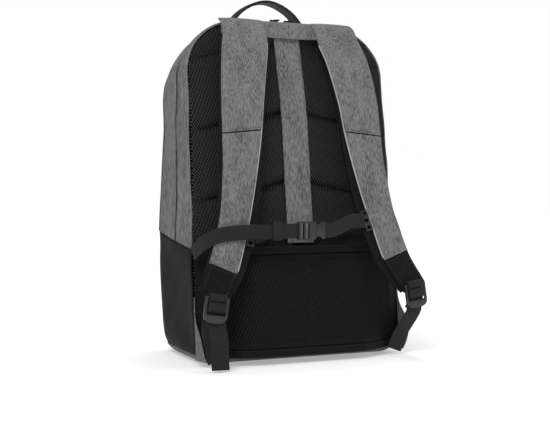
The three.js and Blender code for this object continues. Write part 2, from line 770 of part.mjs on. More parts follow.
// Where webbing passes round a ladder's middle bar, from behind it to the tail, as [up, face].
function threading(thickness, gap) {
  const front = thickness / 2 + gap;
  const [bar, slot] = [lockBar, lockSlot];
  return [
    [tabTop, -front - 4.2],
    [secondSlot - 0.4 * slot, -front - 2.8],
    [middleBar + 0.05 * slot, -front - 1.2],
    [middleBar + 0.42 * slot, -0.4 * front],
    [middleBar + 0.46 * slot, 0.7 * front],
    [middleBar + 0.1 * slot, front],
    [middleBar - bar - 0.12 * slot, front],
    [secondSlot - 0.48 * slot, 0.4 * front],
    [secondSlot - 0.62 * slot, -0.6 * front],
    [tabTop - 0.1 * slot, -front],
  ];
}

// The webbing from its anchor up to the lock. up counts anchor heights, out is in webbing widths beyond
// the anchor's spread and off a share of the strap's standoff.
const lowerRun = [
  { up: 1, out: 0, off: 0.376 },
  { up: 2, out: 0.14, off: 0.428 },
  { up: 4, out: 0.38, off: 0.557 },
  { up: 7.5, out: 0.66, off: 1.03 },
];
const runOut = (z) => anchorSpread + webbingWidth * look(lowerRun, "up", "out", z / anchorHeight);
const runOff = (z) => strapStandoff * look(lowerRun, "up", "off", z / anchorHeight);

// The webbing from the base corner up behind the lock, round its bar and down as the free tail.
function buildLowerWebbing(side, name, tail) {
  const frame = lockFrame(side, name);
  const lockFoot = tabTop - lockTab;
  const run = lowerRun.slice(0, 3).map(({ up }) => {
    const z = up * anchorHeight;
    return new THREE.Vector3(side * runOut(z), backAt(z) - runOff(z), z);
  });
  const threaded = threading(lockThickness, 1.2 + webbingThickness / 2).map(([up, face]) => inFrame(frame, up, face));
  const path = [
    ...run,
    inFrame(frame, lockFoot - 4, -11),
    ...threaded,
    ...tail.map(([up, face, across]) => inFrame(frame, lockFoot + up * webbingWidth, face * webbingWidth, across * webbingWidth)),
  ];
  const [first, last] = [run.length + 1, run.length + threaded.length];
  const across = (v) => {
    const step = v * (path.length - 1);
    const held = smooth((step - first + 2) / 2) * smooth((last + 2 - step) / 2);
    return new THREE.Vector3(1, 0, 0).lerp(frame.across, held);
  };
  addPiece(`lower_webbing_${name}`, band(path, across, webbingWidth, webbingThickness, 52), cloth.webbing);
}

// The grey corner tab that carries the webbing, from the back seam out to the webbing's edge.
function buildAnchorTab(side, name) {
  const rows = 6;
  const half = anchorTabThickness / 2;
  const tab = plate(2, rows, (u, v) => {
    const z = mix(anchorTabHeight, anchorHeight, v);
    const held = new THREE.Vector3(halfAt(sections[0], z) - half, backAt(z) - half - 2 * seamGap, z);
    const reach = smooth(v * 1.3);
    const free = new THREE.Vector3(
      mix(held.x, runOut(z) + webbingWidth / 2 + half + 4 * seamGap, reach),
      mix(held.y - half, backAt(z) - runOff(z), reach * smooth(v * 1.1)),
      z,
    );
    const place = held.lerp(free, u);
    place.x *= side;
    return [place.clone().setX(place.x + half), place.clone().setX(place.x - half)];
  });
  addPiece(`anchor_tab_${name}`, tab, cloth.heather);
}

// Sternum strap

// The free end, laid over the left strap and down its outer side: out and ahead are shares of the strap's
// width from its middle, fall of the sternum webbing's width.
const sternumTail = [
  { out: -0.317, ahead: 0.15, fall: 0.05 },
  { out: 0.017, ahead: 0.092, fall: 0.1 },
  { out: 0.383, ahead: 0.108, fall: 0.25 },
  { out: 0.6, ahead: -0.042, fall: 0.6 },
  { out: 0.717, ahead: -0.308, fall: 1.15 },
  { out: 0.758, ahead: -0.475, fall: 1.5 },
];
const sternumAt = (x, off, height) =>
  new THREE.Vector3(x, off - baseDepth / 2 - sternumStandoff, sternumHeight + height);
const upright = new THREE.Vector3(0, 0, 1);

function buildSternumStrap() {
  const clipEdge = clipFrame(1, "right").origin.x - slideClipWidth / 2;
  const socketStart = socketEnd - socketLength;
  const rise = slideClipHeights.right - sternumHeight;
  const layer = webbingThickness + seamGap;
  const strap = strapAt(sternumHeight, -1).middle;
  const rightRun = [
    ...clipSeat(1, "right"),
    sternumAt(0.7 * clipEdge, 0.4 * sternumWidth, 0.65 * rise),
    sternumAt(0.4 * clipEdge, 0.06 * sternumWidth, 0.18 * rise),
    sternumAt(0.26 * clipEdge, 0, 0.01 * rise),
    sternumAt(plugLength + socketEnd + 1.5 * seamGap, 0, 0),
  ];
  const leftRun = [
    ...clipSeat(-1, "left"),
    sternumAt(keeperPlace - 0.9 * keeperWidth, layer + 0.275 * sternumWidth, 0),
    sternumAt(keeperPlace - 0.55 * keeperWidth, layer + 0.05 * sternumWidth, 0),
    sternumAt(keeperPlace, layer + 0.01 * sternumWidth, 0),
    sternumAt(socketStart - 1.5 * seamGap, layer, 0),
  ];
  const tail = [
    sternumAt(socketStart - 1.5 * seamGap, 0, 0),
    sternumAt(keeperPlace + keeperWidth / 2, 0, 0),
    sternumAt(keeperPlace - 0.8 * keeperWidth, 0.01 * sternumWidth, -0.02 * sternumWidth),
    ...sternumTail.map(({ out, ahead, fall }) => {
      const place = strap.clone().setZ(sternumHeight - fall * sternumWidth);
      return place.setX(strap.x - out * strapWidth).setY(strap.y - ahead * strapWidth);
    }),
  ];
  const leaning = (side, name) => (v) => clipFrame(side, name).up.lerp(upright, smooth(2.4 * v - 0.5));
  const webbing = (run, across, steps) => band(run, across, sternumWidth, webbingThickness, steps);
  addPiece("sternum_webbing_right", webbing(rightRun, leaning(1, "right"), 8), cloth.webbing);
  addPiece("sternum_webbing_left", webbing(leftRun, leaning(-1, "left"), 8), cloth.webbing);
  addPiece("sternum_tail", webbing(tail, () => upright, 20), cloth.webbing);
  buildKeeper(layer);
  buildBuckle();
}

// A flat loop round both runs of the sternum webbing.
function buildKeeper(layer) {
  const clear = 1.2;
  const [high, deep] = [sternumWidth / 2 + clear, (layer + webbingThickness) / 2 + clear + 0.3];
  const corner = (reach, x) =>
    [[-1, -1], [1, -1], [1, 1], [-1, 1]].map(([y, z]) =>
      sternumAt(keeperPlace + x, layer / 2 + 0.4 + y * (deep + reach), z * (high + reach)),
    );
  const side = keeperWidth / 2;
  const thickness = 1.4;
  addPiece(
    "webbing_keeper",
    tubeWall([corner(thickness, -side), corner(thickness, side), corner(0, side), corner(0, -side)]),
    cloth.webbing,
  );
}

// The side-release buckle, closed: a ladder and socket on the left, a plug on the right.
function buildBuckle() {
  const frame = {
    origin: sternumAt(socketEnd, webbingThickness / 2, 0),
    across: new THREE.Vector3(1, 0, 0),
    up: upright,
    face: new THREE.Vector3(0, -1, 0),
  };
  const half = buckleHeight / 2;
  const socket = new THREE.Shape();
  socket.moveTo(-socketLength, -half);
  socket.lineTo(-4, -half);
  socket.quadraticCurveTo(0, -half, 0, -half + 4);
  socket.lineTo(0, half - 4);
  socket.quadraticCurveTo(0, half, -4, half);
  socket.lineTo(-socketLength, half);
  const slots = [3, 11].map((from) => [
    from - socketLength,
    from + 5 - socketLength,
    -sternumWidth / 2,
    sternumWidth / 2,
  ]);
  const plug = new THREE.Shape();
  plug.moveTo(seamGap, -half + 3);
  plug.quadraticCurveTo(6, -half + 7, 9, -half + 1);
  plug.lineTo(plugLength, -half + 1);
  plug.lineTo(plugLength, half - 1);
  plug.lineTo(9, half - 1);
  plug.quadraticCurveTo(6, half - 7, seamGap, half - 3);
  addPiece("sternum_socket", slottedPlate(socket, buckleThickness, slots, frame), cloth.plastic);
  addPiece("sternum_plug", slottedPlate(plug, buckleThickness, [], frame), cloth.plastic);
}

// Where a slide clip lies on the black edge of its strap, a gap away from the cover.
function clipFrame(side, name) {
  const strap = strapAt(slideClipHeights[name], side);
  const up = strap.along.clone().negate();
  const across = up.clone().cross(strap.face);
  const origin = strap.middle.clone().addScaledVector(strap.face, slideClipThickness / 2 - coverThickness);
  origin.addScaledVector(strap.across, -(strap.half + slideClipGaps[name] + slideClipWidth / 2));
  return { origin, across, up, face: strap.face };
}

// Where the sternum webbing lies on a slide clip's inner edge, and where it has left it.
function clipSeat(side, name) {
  const frame = clipFrame(side, name);
  const front = (slideClipThickness + webbingThickness) / 2 + seamGap;
  const inward = -side * Math.sign(frame.across.x);
  return [-1, 4].map((past) => inFrame(frame, 0, front, inward * (slideClipWidth / 2 + past)));
}

// The slotted clip on a strap's inner edge that carries the sternum webbing.
function buildSlideClip(side, name) {
  const shape = new THREE.Shape();
  const [half, tall] = [slideClipWidth / 2, slideClipLength / 2];
  shape.moveTo(-half, -tall);
  shape.lineTo(half, -tall);
  shape.lineTo(half, tall);
  shape.lineTo(-half, tall);
  const count = 3;
  const pitch = slideClipLength / count;
  const slots = Array.from({ length: count }, (_, i) => {
    const low = i * pitch - tall + 2.5;
    return [2.5 - half, half - 2.5, low, low + pitch - 5];
  });
  const clip = slottedPlate(shape, slideClipThickness, slots, clipFrame(side, name));
  addPiece(`slide_clip_${name}`, clip, cloth.plastic);
}

// The bag's top at x = 0, and how far it falls away to the sides at x.
function topAt(x, y) {
  const deep = (y - backAt(bagHeight)) / (frontAt(bagHeight) - backAt(bagHeight));
  const next = sections.findIndex((row, n) => n > 0 && deep <= row.deep);
  const [a, b] = [sections[next - 1], sections[next]];
  const t = (deep - a.deep) / (b.deep - a.deep);
  const read = (column) => mix(a[column], b[column], t);
  const [high, wide] = [topRadius * read("round"), topRadius * read("spread")];
  const past = Math.max(0, Math.abs(x) - (halfWidth * read("shoulder") - wide)) / wide;
  return bagHeight * read("top") - high * (1 - Math.sqrt(1 - past ** 2));
}

function buildHandle() {
  const rows = [
    { out: 1, rise: 0 },
    { out: 0.95, rise: 0.02 },
    { out: 0.87, rise: 0.16 },
    { out: 0.63, rise: 0.5 },
    { out: 0.29, rise: 0.88 },
    { out: 0, rise: 1 },
  ];
  const seat = seamGap + 0.6 + handleThickness / 2;
  const place = (row, side) => {
    const x = (side * row.out * handleSpan) / 2;
    const z = mix(topAt(x, handlePlace), topAt(0, handlePlace), clamp(row.rise * 3)) + seat + row.rise * handleRise;
    return new THREE.Vector3(x, handlePlace, z);
  };
  const path = [...rows.map((row) => place(row, -1)), ...rows.slice(0, -1).reverse().map((row) => place(row, 1))];
  const edge = handleWidth / 2;
  const slope = (topAt(0, handlePlace + edge) - topAt(0, handlePlace - edge)) / handleWidth;
  const across = new THREE.Vector3(0, 1, slope);
  addPiece("top_handle", band(path, () => across, handleWidth, handleThickness, 26), cloth.webbing);
}

// A zipper slider on the top of the bag with its pull lying back from it.
function buildSlider(table, side, name) {
  const x = side * sliderSpread;
  const y = zipAt(table, 0.98 * bagHeight);
  const slope = Math.atan2(topAt(x, y + 3) - topAt(x, y - 3), 6);
  const lie = new THREE.Group();
  lie.position.set(x, y, topAt(x, y));
  lie.rotation.x = slope;
  lie.updateMatrix();
  const body = new THREE.BoxGeometry(sliderLength, sliderWidth, sliderThickness);
  body.translate(0, 0, sliderThickness / 2 + seamGap).applyMatrix4(lie.matrix);
  addPiece(`${name}_slider_${side < 0 ? "left" : "right"}`, solidOf(body), cloth.metal);
  const pull = new THREE.BoxGeometry(pullWidth, pullLength, pullThickness);
  const back = (sliderWidth + pullLength) / 2 + 2 * seamGap;
  pull.translate(0, -back, (sliderThickness + pullThickness) / 2 + seamGap).applyMatrix4(lie.matrix);
  addPiece(`${name}_pull_${side < 0 ? "left" : "right"}`, solidOf(pull), cloth.webbing);
}

buildBag();
buildBackPanel();
buildCentreStrip();
buildYoke();
buildSleeve();
buildSternumStrap();
buildHandle();

// Tails below the locks, as shares of the webbing's width: [up from the lock's foot, face, across].
const tails = {
  left: [[-0.24, -0.16, 0.28], [-0.8, -0.14, 0.48], [-1.52, -0.08, 0.6], [-2.08, 0, 0.68], [-2.36, 0.08, 0.72]],
  right: [[0.12, -0.2, -0.12], [-0.12, -0.24, -0.28]],
};
for (const [side, name] of [[-1, "left"], [1, "right"]]) {
  buildStrap(side, name);
  buildLock(side, name);
  buildLockLoop(side, name);
  buildLowerWebbing(side, name, tails[name]);
  buildAnchorTab(side, name);
  buildSlideClip(side, name);
  buildSlider(laptopZip, side, "laptop");
  buildSlider(mainZip, side, "main");
}

export default backpack;
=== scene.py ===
"""A laptop backpack: padded mesh back, luggage sleeve, two-tone cloth, sternum strap and top handle."""

import math

import bmesh
import bpy
import numpy as np
from bpy.props import FloatProperty, FloatVectorProperty, PointerProperty
from bpy.types import Operator, Panel, PropertyGroup
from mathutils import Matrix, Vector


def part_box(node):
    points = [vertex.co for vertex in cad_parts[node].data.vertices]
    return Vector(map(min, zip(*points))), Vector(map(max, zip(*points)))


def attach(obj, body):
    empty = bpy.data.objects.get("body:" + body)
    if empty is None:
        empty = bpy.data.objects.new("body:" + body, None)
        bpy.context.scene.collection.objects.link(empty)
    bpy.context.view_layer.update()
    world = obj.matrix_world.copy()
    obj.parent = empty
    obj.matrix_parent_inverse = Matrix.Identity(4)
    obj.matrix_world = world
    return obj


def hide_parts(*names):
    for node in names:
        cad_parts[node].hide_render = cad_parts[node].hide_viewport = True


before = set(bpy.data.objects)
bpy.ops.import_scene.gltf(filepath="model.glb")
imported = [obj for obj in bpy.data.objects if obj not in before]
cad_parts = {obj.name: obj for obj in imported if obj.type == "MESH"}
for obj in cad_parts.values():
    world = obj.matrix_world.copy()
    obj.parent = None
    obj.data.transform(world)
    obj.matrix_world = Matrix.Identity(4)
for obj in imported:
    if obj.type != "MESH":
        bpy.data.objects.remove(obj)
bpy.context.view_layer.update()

bl_info = {
    "name": "Laptop Backpack",
    "version": (1, 0, 0),
    "blender": (4, 5, 0),
    "location": "3D View > Sidebar > Backpack",
    "description": "Makes a laptop backpack's cloth, padding, webbing and trim around its solid parts",
    "category": "Add Mesh",
}

BODY = "root"
SIDES = ((-1, "left"), (1, "right"))
MM = 0.001


def named_rows(columns, *rows):
    """Rows of numbers, read by the names of their columns."""
    return tuple(dict(zip(columns.split(), row)) for row in rows)


# The bag, in millimetres
BAG_HEIGHT = 480
BAG_WIDTH = 320
BASE_DEPTH = 160
BAG_DEPTH = 182
BACK_LEAN = 60
TOP_RADIUS = 100
BASE_RADIUS = 26
FRONT_CROWN = 8
WALL = 3
CLOTH = 2
SEAM_GAP = 0.4
COLOUR_SEAM_HEIGHT = 176
SHOULDER_HEIGHT = 380
BASE_SEAM_HEIGHT = 14
HALF_WIDTH = BAG_WIDTH / 2

# Zippers
ZIP_WIDTH = 8
ZIP_RECESS = 0.8
TOOTH_PITCH = 2.2
TOOTH_SIZE = (0.0012, 0.0042, 0.0011)
TAPE_THICKNESS = 1.2
WELTS = {"laptop": ("heather", "heather_cloth", 0.7), "main": ("tape", "zipper_tape", 1.3)}

# Back panel, centre strip, yoke and sleeve
PADDING = 14
PANEL_SINK = 6
CHANNEL_SPACING = 98
TOP_CHANNEL_HEIGHT = 447
CHANNEL_DROP = 36
STRIP_WIDTH = 40
STRIP_THICKNESS = 2
STRIP_FOOT = 163
STRIP_STITCH_INSET = 2.5
YOKE_WIDTH = 206
YOKE_FOOT = 452
YOKE_STANDOFF = 22
SLEEVE_TOP = 160
SLEEVE_FOOT = 11
SLEEVE_BULGE = 39
SLEEVE_THICKNESS = 7
SLEEVE_REST = 0.6
HEM_HEIGHT = 11
HEM_THICKNESS = 5
SLEEVE_HALF = HALF_WIDTH - 6
CUSHION_BORDER = 16
CUSHION_GAP = 13
CUSHION_CORNER = 12
CUSHION_RISE = 1.4

# Straps
STRAP_WIDTH = 60
STRAP_STANDOFF = 54
COVER_THICKNESS = 2.4
COVER_STEP = 0.8
COVER_CROWN = 0.9
PAD_THICKNESS = 9.5
PAD_MARGIN = 14
PAD_OUTER_MARGIN = 1.5
RING_STEP = 2.5
CROSS_SEAM_HEIGHT = 316
TIP_SEAM_HEIGHTS = {"left": 134, "right": 145}
STRAP_TOP = 476.5
STRAP_FOOT = 102
BINDING_RADIUS = 1.1
THREAD = (0.0006, 0.0005)

# Locks, webbing and the sternum strap
WEBBING_WIDTH = 25
WEBBING_THICKNESS = 1.5
LOCK_BAR = 3
LOCK_SLOT = 9
LOCK_TAB = 11
LOCK_THICKNESS = 3.5
LOCK_SPREAD = 148
LOCK_TILT = 0.16
LOCK_HEIGHTS = {"left": 99, "right": 105.5}
LOCK_CLEARANCE = 5.7
BAR_GAP = 1.2
LOOP_REACH = 5.0
ANCHOR_SPREAD = 131
ANCHOR_HEIGHT = 8
STERNUM_WIDTH = 20
STERNUM_HEIGHT = 182
STERNUM_STANDOFF = 48
STERNUM_REACH = BASE_DEPTH / 2 + STERNUM_STANDOFF
CLIP_EDGE = 79.5
CLIP_RISE = 18
CLIP_SEAT = 3.4
CLIP_REACHES = (4.5, 9.5)
KEEPER_PLACE = -60
KEEPER_WIDTH = 14
KEEPER_THICKNESS = 1.4
KEEPER_CLEARANCE = 1.9
SOCKET_START = -29
PLUG_END = 11
HANDLE_WIDTH = 25
HANDLE_THICKNESS = 4
HANDLE_SPAN = 128
HANDLE_RISE = 32
HANDLE_PLACE = 52
MOULDING_EDGE = 0.5

# The stage, in metres, and the turns in degrees
CAMERA_PLACE = (-0.6474, -1.4397, 0.246)
CAMERA_TILT = 88
CAMERA_TURN = -24
LAMP_AIM = (0, 0, 0.24)
WORLD_LIGHT = 0.42
FLOOR_REACH = 6000
FLOOR_GLOW = (0.34, 0.72)
LAMPS = (
    ("key", (-1.5, -1.6, 2.0), 1.1, 40),
    ("fill", (1.9, -1.2, 1.2), 1.2, 12),
    ("top", (0.2, 0.5, 2.2), 1.0, 16),
)

# The bag's front in profile: deep is a share of its depth.
FRONT_PROFILE = named_rows(
    "up deep",
    (0, 0.879),
    (0.062, 0.923),
    (0.206, 0.973),
    (0.41, 1),
    (0.617, 1),
    (0.78, 0.984),
    (0.885, 0.967),
    (1, 0.945),
)

# Sections from the back to the front, as shares of the height, half width and corner radii.
SECTIONS = named_rows(
    "deep top base seam shoulder round spread lift",
    (0, 0.985, 0.99, 0.985, 0.957, 0.74, 0.76, 0.3),
    (0.05, 0.989, 0.99, 0.99, 0.965, 0.76, 0.82, 0.1),
    (0.11, 0.994, 0.985, 0.993, 0.97, 0.8, 0.92, 0),
    (0.35, 1, 0.985, 0.998, 0.97, 0.9, 1.24, 0),
    (0.62, 0.996, 0.985, 1, 0.955, 0.93, 1.3, 0),
    (0.8, 0.972, 0.98, 1, 0.94, 0.94, 1.3, 0),
    (0.9, 0.95, 0.955, 0.975, 0.915, 0.95, 1.26, 0.1),
    (0.96, 0.92, 0.915, 0.93, 0.87, 0.94, 1.18, 0.3),
    (1, 0.88, 0.84, 0.85, 0.79, 0.88, 1.05, 0.75),
)

# The zippers' lines up the side and the colour seam's line: deep is a share of the bag's depth.
LAPTOP_ZIP = named_rows(
    "up deep",
    (-0.2, 0.418),
    (0.32, 0.418),
    (0.43, 0.426),
    (0.54, 0.448),
    (0.66, 0.473),
    (0.8, 0.475),
    (0.9, 0.462),
    (1, 0.404),
    (1.2, 0.396),
)
MAIN_ZIP = named_rows(
    "up deep",
    (-0.2, 0.9),
    (0.32, 0.9),
    (0.62, 0.892),
    (0.86, 0.862),
    (1, 0.818),
    (1.2, 0.818),
)
COLOUR_SEAM = named_rows(
    "deep up",
    (-0.9, 0.89),
    (0.11, 0.89),
    (0.835, 1),
    (1.8, 1.02),
)

# A shoulder strap from its foot to the top seam, as shares of the bag's and the strap's sizes.
STRAP_ROWS = named_rows(
    "up out off half margin thick skew",
    (0.192, 0.96, 1.19, 0.66, 0.1, 0.4, 0),
    (0.213, 0.937, 1.17, 0.66, 0.2, 0.4, 0),
    (0.292, 0.819, 1.03, 0.69, 0.8, 0.75, 0),
    (0.396, 0.719, 0.98, 0.69, 1, 1, 0),
    (0.443, 0.681, 0.94, 0.72, 0.95, 1, 0.08),
    (0.569, 0.612, 0.87, 0.84, 0.6, 1, 0.18),
    (0.658, 0.579, 0.83, 0.95, 0.3, 1, 0.2),
    (0.752, 0.555, 0.79, 1.03, 0.15, 1, 0.16),
    (0.873, 0.5, 0.63, 1.1, 0.05, 1, 0.06),
    (0.934, 0.455, 0.44, 1.1, 0, 1, 0),
    (0.972, 0.44, 0.3, 1.1, 0, 1, 0),
    (0.986, 0.44, 0.17, 1.1, 0, 1, 0),
    (0.993, 0.44, 0.05, 1.1, 0, 1, 0),
)
# The yoke from its foot up, as shares of its width, its standoff and the height.
YOKE_ROWS = named_rows(
    "up wide front middle back drop",
    (0.942, 1, 1, 0.4, 0.44, 0),
    (0.973, 0.985, 0.72, 0.31, 0.3, 0.003),
    (0.991, 0.972, 0.19, 0.17, 0.02, 0.0062),
    (0.996, 0.965, -0.34, -0.34, -0.36, 0.0045),
)
# The lower webbing from the base corner up, with its free ends in millimetres from the lock's foot.
LOWER_RUN = named_rows(
    "up out off",
    (1, 0.2, 0.376),
    (2, 0.32, 0.428),
    (4, 0.48, 0.557),
    (7.5, 0.68, 1.03),
)
TAILS = {
    "left": named_rows(
        "up face across",
        (-6, -4, 7),
        (-20, -3.5, 12),
        (-38, -2, 15),
        (-52, 0, 17),
        (-59, 2, 18),
    ),
    "right": named_rows("up face across", (3, -5, -3), (-3, -6, -7)),
}

# The sternum strap's right webbing, the top handle, and the sternum strap's free end.
STERNUM_RIGHT = named_rows(
    "out off rise",
    (0.7, 0.4, 0.65),
    (0.4, 0.06, 0.18),
    (0.26, 0, 0.01),
)
HANDLE_ROWS = named_rows(
    "out rise",
    (1, 0),
    (0.95, 0.02),
    (0.87, 0.16),
    (0.63, 0.5),
    (0.29, 0.88),
    (0, 1),
)
STERNUM_TAIL = named_rows(
    "out ahead fall",
    (-0.317, 0.15, 0.05),
    (0.017, 0.092, 0.1),
    (0.383, 0.108, 0.25),
    (0.6, -0.042, 0.6),
    (0.717, -0.308, 1.15),
    (0.758, -0.475, 1.5),
)


def metres(name, description, value, low=0.0):
    return FloatProperty(name=name, description=description, default=value, min=low, unit="LENGTH")


def tint(name, description, value):
    """A grey, given by one number."""
    return FloatVectorProperty(name=name, description=description, default=(value,) * 3, subtype="COLOR")


class BackpackSizes(PropertyGroup):
    """Sizes of the cloth's finish that can be changed without moving a part."""

    weave: metres("Weave pitch", "Spacing of the heather cloth's threads", 0.0011, 0.0003)
    mesh_pitch: metres("Mesh pitch", "Spacing of the air mesh's strands", 0.0036, 0.001)
    stitch_length: metres("Stitch length", "Length of one stitch", 0.0026, 0.001)
    stitch_pitch: metres("Stitch pitch", "Distance from stitch to stitch", 0.0036, 0.001)
    slump: metres("Slump", "Depth of the soft hollows in the bag's cloth", 0.0011)
    lens: FloatProperty(name="Lens", description="Focal length of the camera", default=70.69, min=10)


class BackpackColours(PropertyGroup):
    """Colours of the cloths, webbing and hard parts."""

    heather_light: tint("Heather light", "Light thread of the grey cloth", 0.205)
    heather_dark: tint("Heather dark", "Dark thread of the grey cloth", 0.028)
    black: tint("Black cloth", "Smooth black cloth", 0.005)
    mesh: tint("Mesh", "Strands of the air mesh", 0.05)
    webbing: tint("Webbing", "Webbing and thread", 0.009)
    plastic: tint("Plastic", "Moulded locks and buckle", 0.012)


# Tables and curves


def look(table, x, column, key="up"):
    """Reads a column of a table at x by a cubic with the table's own slopes."""
    keys = np.array([row[key] for row in table], float)
    values = np.array([row[column] for row in table], float)
    slopes = np.gradient(values)
    slopes[1:-1] = (values[2:] - values[:-2]) / (keys[2:] - keys[:-2])
    slopes[0] = (values[1] - values[0]) / (keys[1] - keys[0])
    slopes[-1] = (values[-1] - values[-2]) / (keys[-1] - keys[-2])
    x = np.clip(x, keys[0], keys[-1])
    i = np.clip(np.searchsorted(keys, x) - 1, 0, len(keys) - 2)
    span = keys[i + 1] - keys[i]
    t = (x - keys[i]) / span
    start = values[i] * (1 + 2 * t) + slopes[i] * span * t
    end = values[i + 1] * (3 - 2 * t) + slopes[i + 1] * span * (t - 1)
    return start * (1 - t) ** 2 + end * t * t


def smooth(t):
    t = np.clip(t, 0, 1)
    return t * t * (3 - 2 * t)


def ease(t):
    return 1 - (1 - np.clip(t, 0, 1)) ** 2


def mix(a, b, t):
    return a + (b - a) * t


def bump(x, middle, width):
    """A soft hump of height 1 around the middle."""
    return np.exp(-(((x - middle) / width) ** 2))


def unit(vectors):
    return vectors / np.maximum(np.linalg.norm(vectors, axis=-1, keepdims=True), 1e-9)


def stack(x, y, z):
    return np.stack(np.broadcast_arrays(x, y, z), axis=-1).astype(float)


def solve(test, low, high):
    """Halves the way from low to high to where test turns from negative to positive."""
    low = np.array(low, float)
    high = np.array(high, float)
    for _ in range(34):
        middle = (low + high) / 2
        past = test(middle) > 0
        high = np.where(past, middle, high)
        low = np.where(past, low, middle)
    return (low + high) / 2


def spline(points, count):
    """Points evenly spread in turn along a centripetal Catmull-Rom curve through the given ones."""
    points = np.array(points, float)
    first = 2 * points[0] - points[1]
    last = 2 * points[-1] - points[-2]
    knots = np.vstack([first, points, last])
    result = []
    for v in np.linspace(0, len(points) - 1, count):
        i = min(int(v), len(points) - 2)
        t = v - i
        p0, p1, p2, p3 = knots[i : i + 4]
        d0, d1, d2 = (max(np.linalg.norm(b - a) ** 0.5, 1e-4) for a, b in ((p0, p1), (p1, p2), (p2, p3)))
        m1 = ((p1 - p0) / d0 - (p2 - p0) / (d0 + d1) + (p2 - p1) / d1) * d1
        m2 = ((p2 - p1) / d1 - (p3 - p1) / (d1 + d2) + (p3 - p2) / d2) * d1
        point = p1 + m1 * t
        point = point + (3 * (p2 - p1) - 2 * m1 - m2) * t**2
        point = point + (2 * (p1 - p2) + m1 + m2) * t**3
        result.append(point)
    return np.array(result)


# The bag's form


def back_at(z):
    return -BASE_DEPTH / 2 + BACK_LEAN * np.asarray(z, float) / BAG_HEIGHT


def front_at(z):
    return -BASE_DEPTH / 2 + BAG_DEPTH * look(FRONT_PROFILE, np.asarray(z, float) / BAG_HEIGHT, "deep")


def section(deep):
    """The sections' columns at any share of the depth."""
    row = {column: look(SECTIONS, deep, column, "deep") for column in SECTIONS[0] if column != "deep"}
    row["lift"] = np.maximum(row["lift"], 0)
    return row


def half_at(row, z):
    low = mix(row["seam"], row["base"], ease((COLOUR_SEAM_HEIGHT - z) / COLOUR_SEAM_HEIGHT))
    rise = (z - COLOUR_SEAM_HEIGHT) / (SHOULDER_HEIGHT - COLOUR_SEAM_HEIGHT)
    high = mix(row["seam"], row["shoulder"], ease(rise))
    return HALF_WIDTH * np.where(z <= COLOUR_SEAM_HEIGHT, low, high)


def section_corners(row, inset=0.0):
    """A section's foot, top and corner radii, and half the flats of its base and top, all moved inward."""
    foot = row["lift"] * BASE_RADIUS + inset
    top = row["top"] * BAG_HEIGHT - inset
    low = BASE_RADIUS - inset
    high = row["round"] * TOP_RADIUS - inset
    wide = row["spread"] * TOP_RADIUS - inset
    flat_low = half_at(row, foot + low) - inset - low
    flat_high = half_at(row, top - high) - inset - wide
    return foot, top, low, high, wide, flat_low, flat_high


def bag_point(deep, around, inset=0.0):
    """A point of the bag's skin. deep runs from the back (0) to the front (1), around from the middle of
    the base (0) up the left (-1) or the right (1) to the middle of the top."""
    row = section(deep)
    foot, top, low, high, wide, flat_low, flat_high = section_corners(row, inset)
    arc = (high + wide) * np.pi / 4
    lengths = [flat_low, low * np.pi / 2 + 0 * high, top - high - foot - low, arc, flat_high]
    far = np.abs(around) * sum(lengths)
    ends = np.cumsum(np.stack(np.broadcast_arrays(*lengths)), axis=0)
    low_turn = np.clip((far - ends[0]) / low, 0, np.pi / 2)
    high_turn = np.clip((far - ends[2]) / arc, 0, 1) * np.pi / 2
    side_height = foot + low + far - ends[1]
    stretch = [far < ends[0], far < ends[1], far < ends[2], far < ends[3]]
    x = np.select(
        stretch,
        [far, flat_low + low * np.sin(low_turn), half_at(row, side_height) - inset,
         flat_high + wide * np.cos(high_turn)],
        flat_high - (far - ends[3]),
    )
    z = np.select(
        stretch,
        [foot + 0 * far, foot + low - low * np.cos(low_turn), side_height,
         top - high + high * np.sin(high_turn)],
        top + 0 * far,
    )
    y = back_at(z) + deep * (front_at(z) - inset - back_at(z))
    return stack(np.where(around < 0, -x, x), y, z)


def seam_height(y):
    """The colour seam's height: straight from point to point."""
    deep = [row["deep"] for row in COLOUR_SEAM]
    up = [row["up"] for row in COLOUR_SEAM]
    return COLOUR_SEAM_HEIGHT * np.interp((y + BASE_DEPTH / 2) / BAG_DEPTH, deep, up)


def around_where(height, shift):
    """A table of where the skin passes a height, for the whole depth."""
    deep = np.linspace(0, 1, 61)

    def past(around):
        point = bag_point(deep, around)
        return point[..., 2] - height(point[..., 1]) - shift

    return deep, solve(past, np.zeros_like(deep), np.ones_like(deep))


def flat_end(deep):
    """Where the flats of a section's base and top end, as shares of the way around."""
    foot, top, low, high, wide, flat_low, flat_high = section_corners(section(deep))
    whole = flat_low + flat_high + low * np.pi / 2 + (high + wide) * np.pi / 4
    whole = whole + top - high - foot - low
    return flat_low / whole, flat_high / whole


ABOVE_SEAM = around_where(seam_height, SEAM_GAP / 2)
BELOW_SEAM = around_where(seam_height, -SEAM_GAP / 2)
ABOVE_BASE = around_where(lambda y: BASE_SEAM_HEIGHT + 0 * y, SEAM_GAP / 2)
BELOW_BASE = around_where(lambda y: BASE_SEAM_HEIGHT + 0 * y, -SEAM_GAP / 2)


def arch(deep, along):
    """The way around at a share along the arch from the left seam (-1) over the top (0) to the right (1)."""
    start = np.interp(deep, *ABOVE_SEAM)
    return np.where(along < 0, -1, 1) * (1 - np.abs(along) * (1 - start))


def deep_on_zip(table, along, shift):
    """Where the arch meets a zipper's line moved by shift, as a share of the depth."""

    def past(deep):
        point = bag_point(deep, arch(deep, along))
        heights = [row["up"] * BAG_HEIGHT for row in table]
        line = BAG_DEPTH * np.interp(point[..., 2], heights, [row["deep"] for row in table]) - BASE_DEPTH / 2
        return point[..., 1] - line - shift

    return solve(past, np.zeros_like(along), np.ones_like(along))


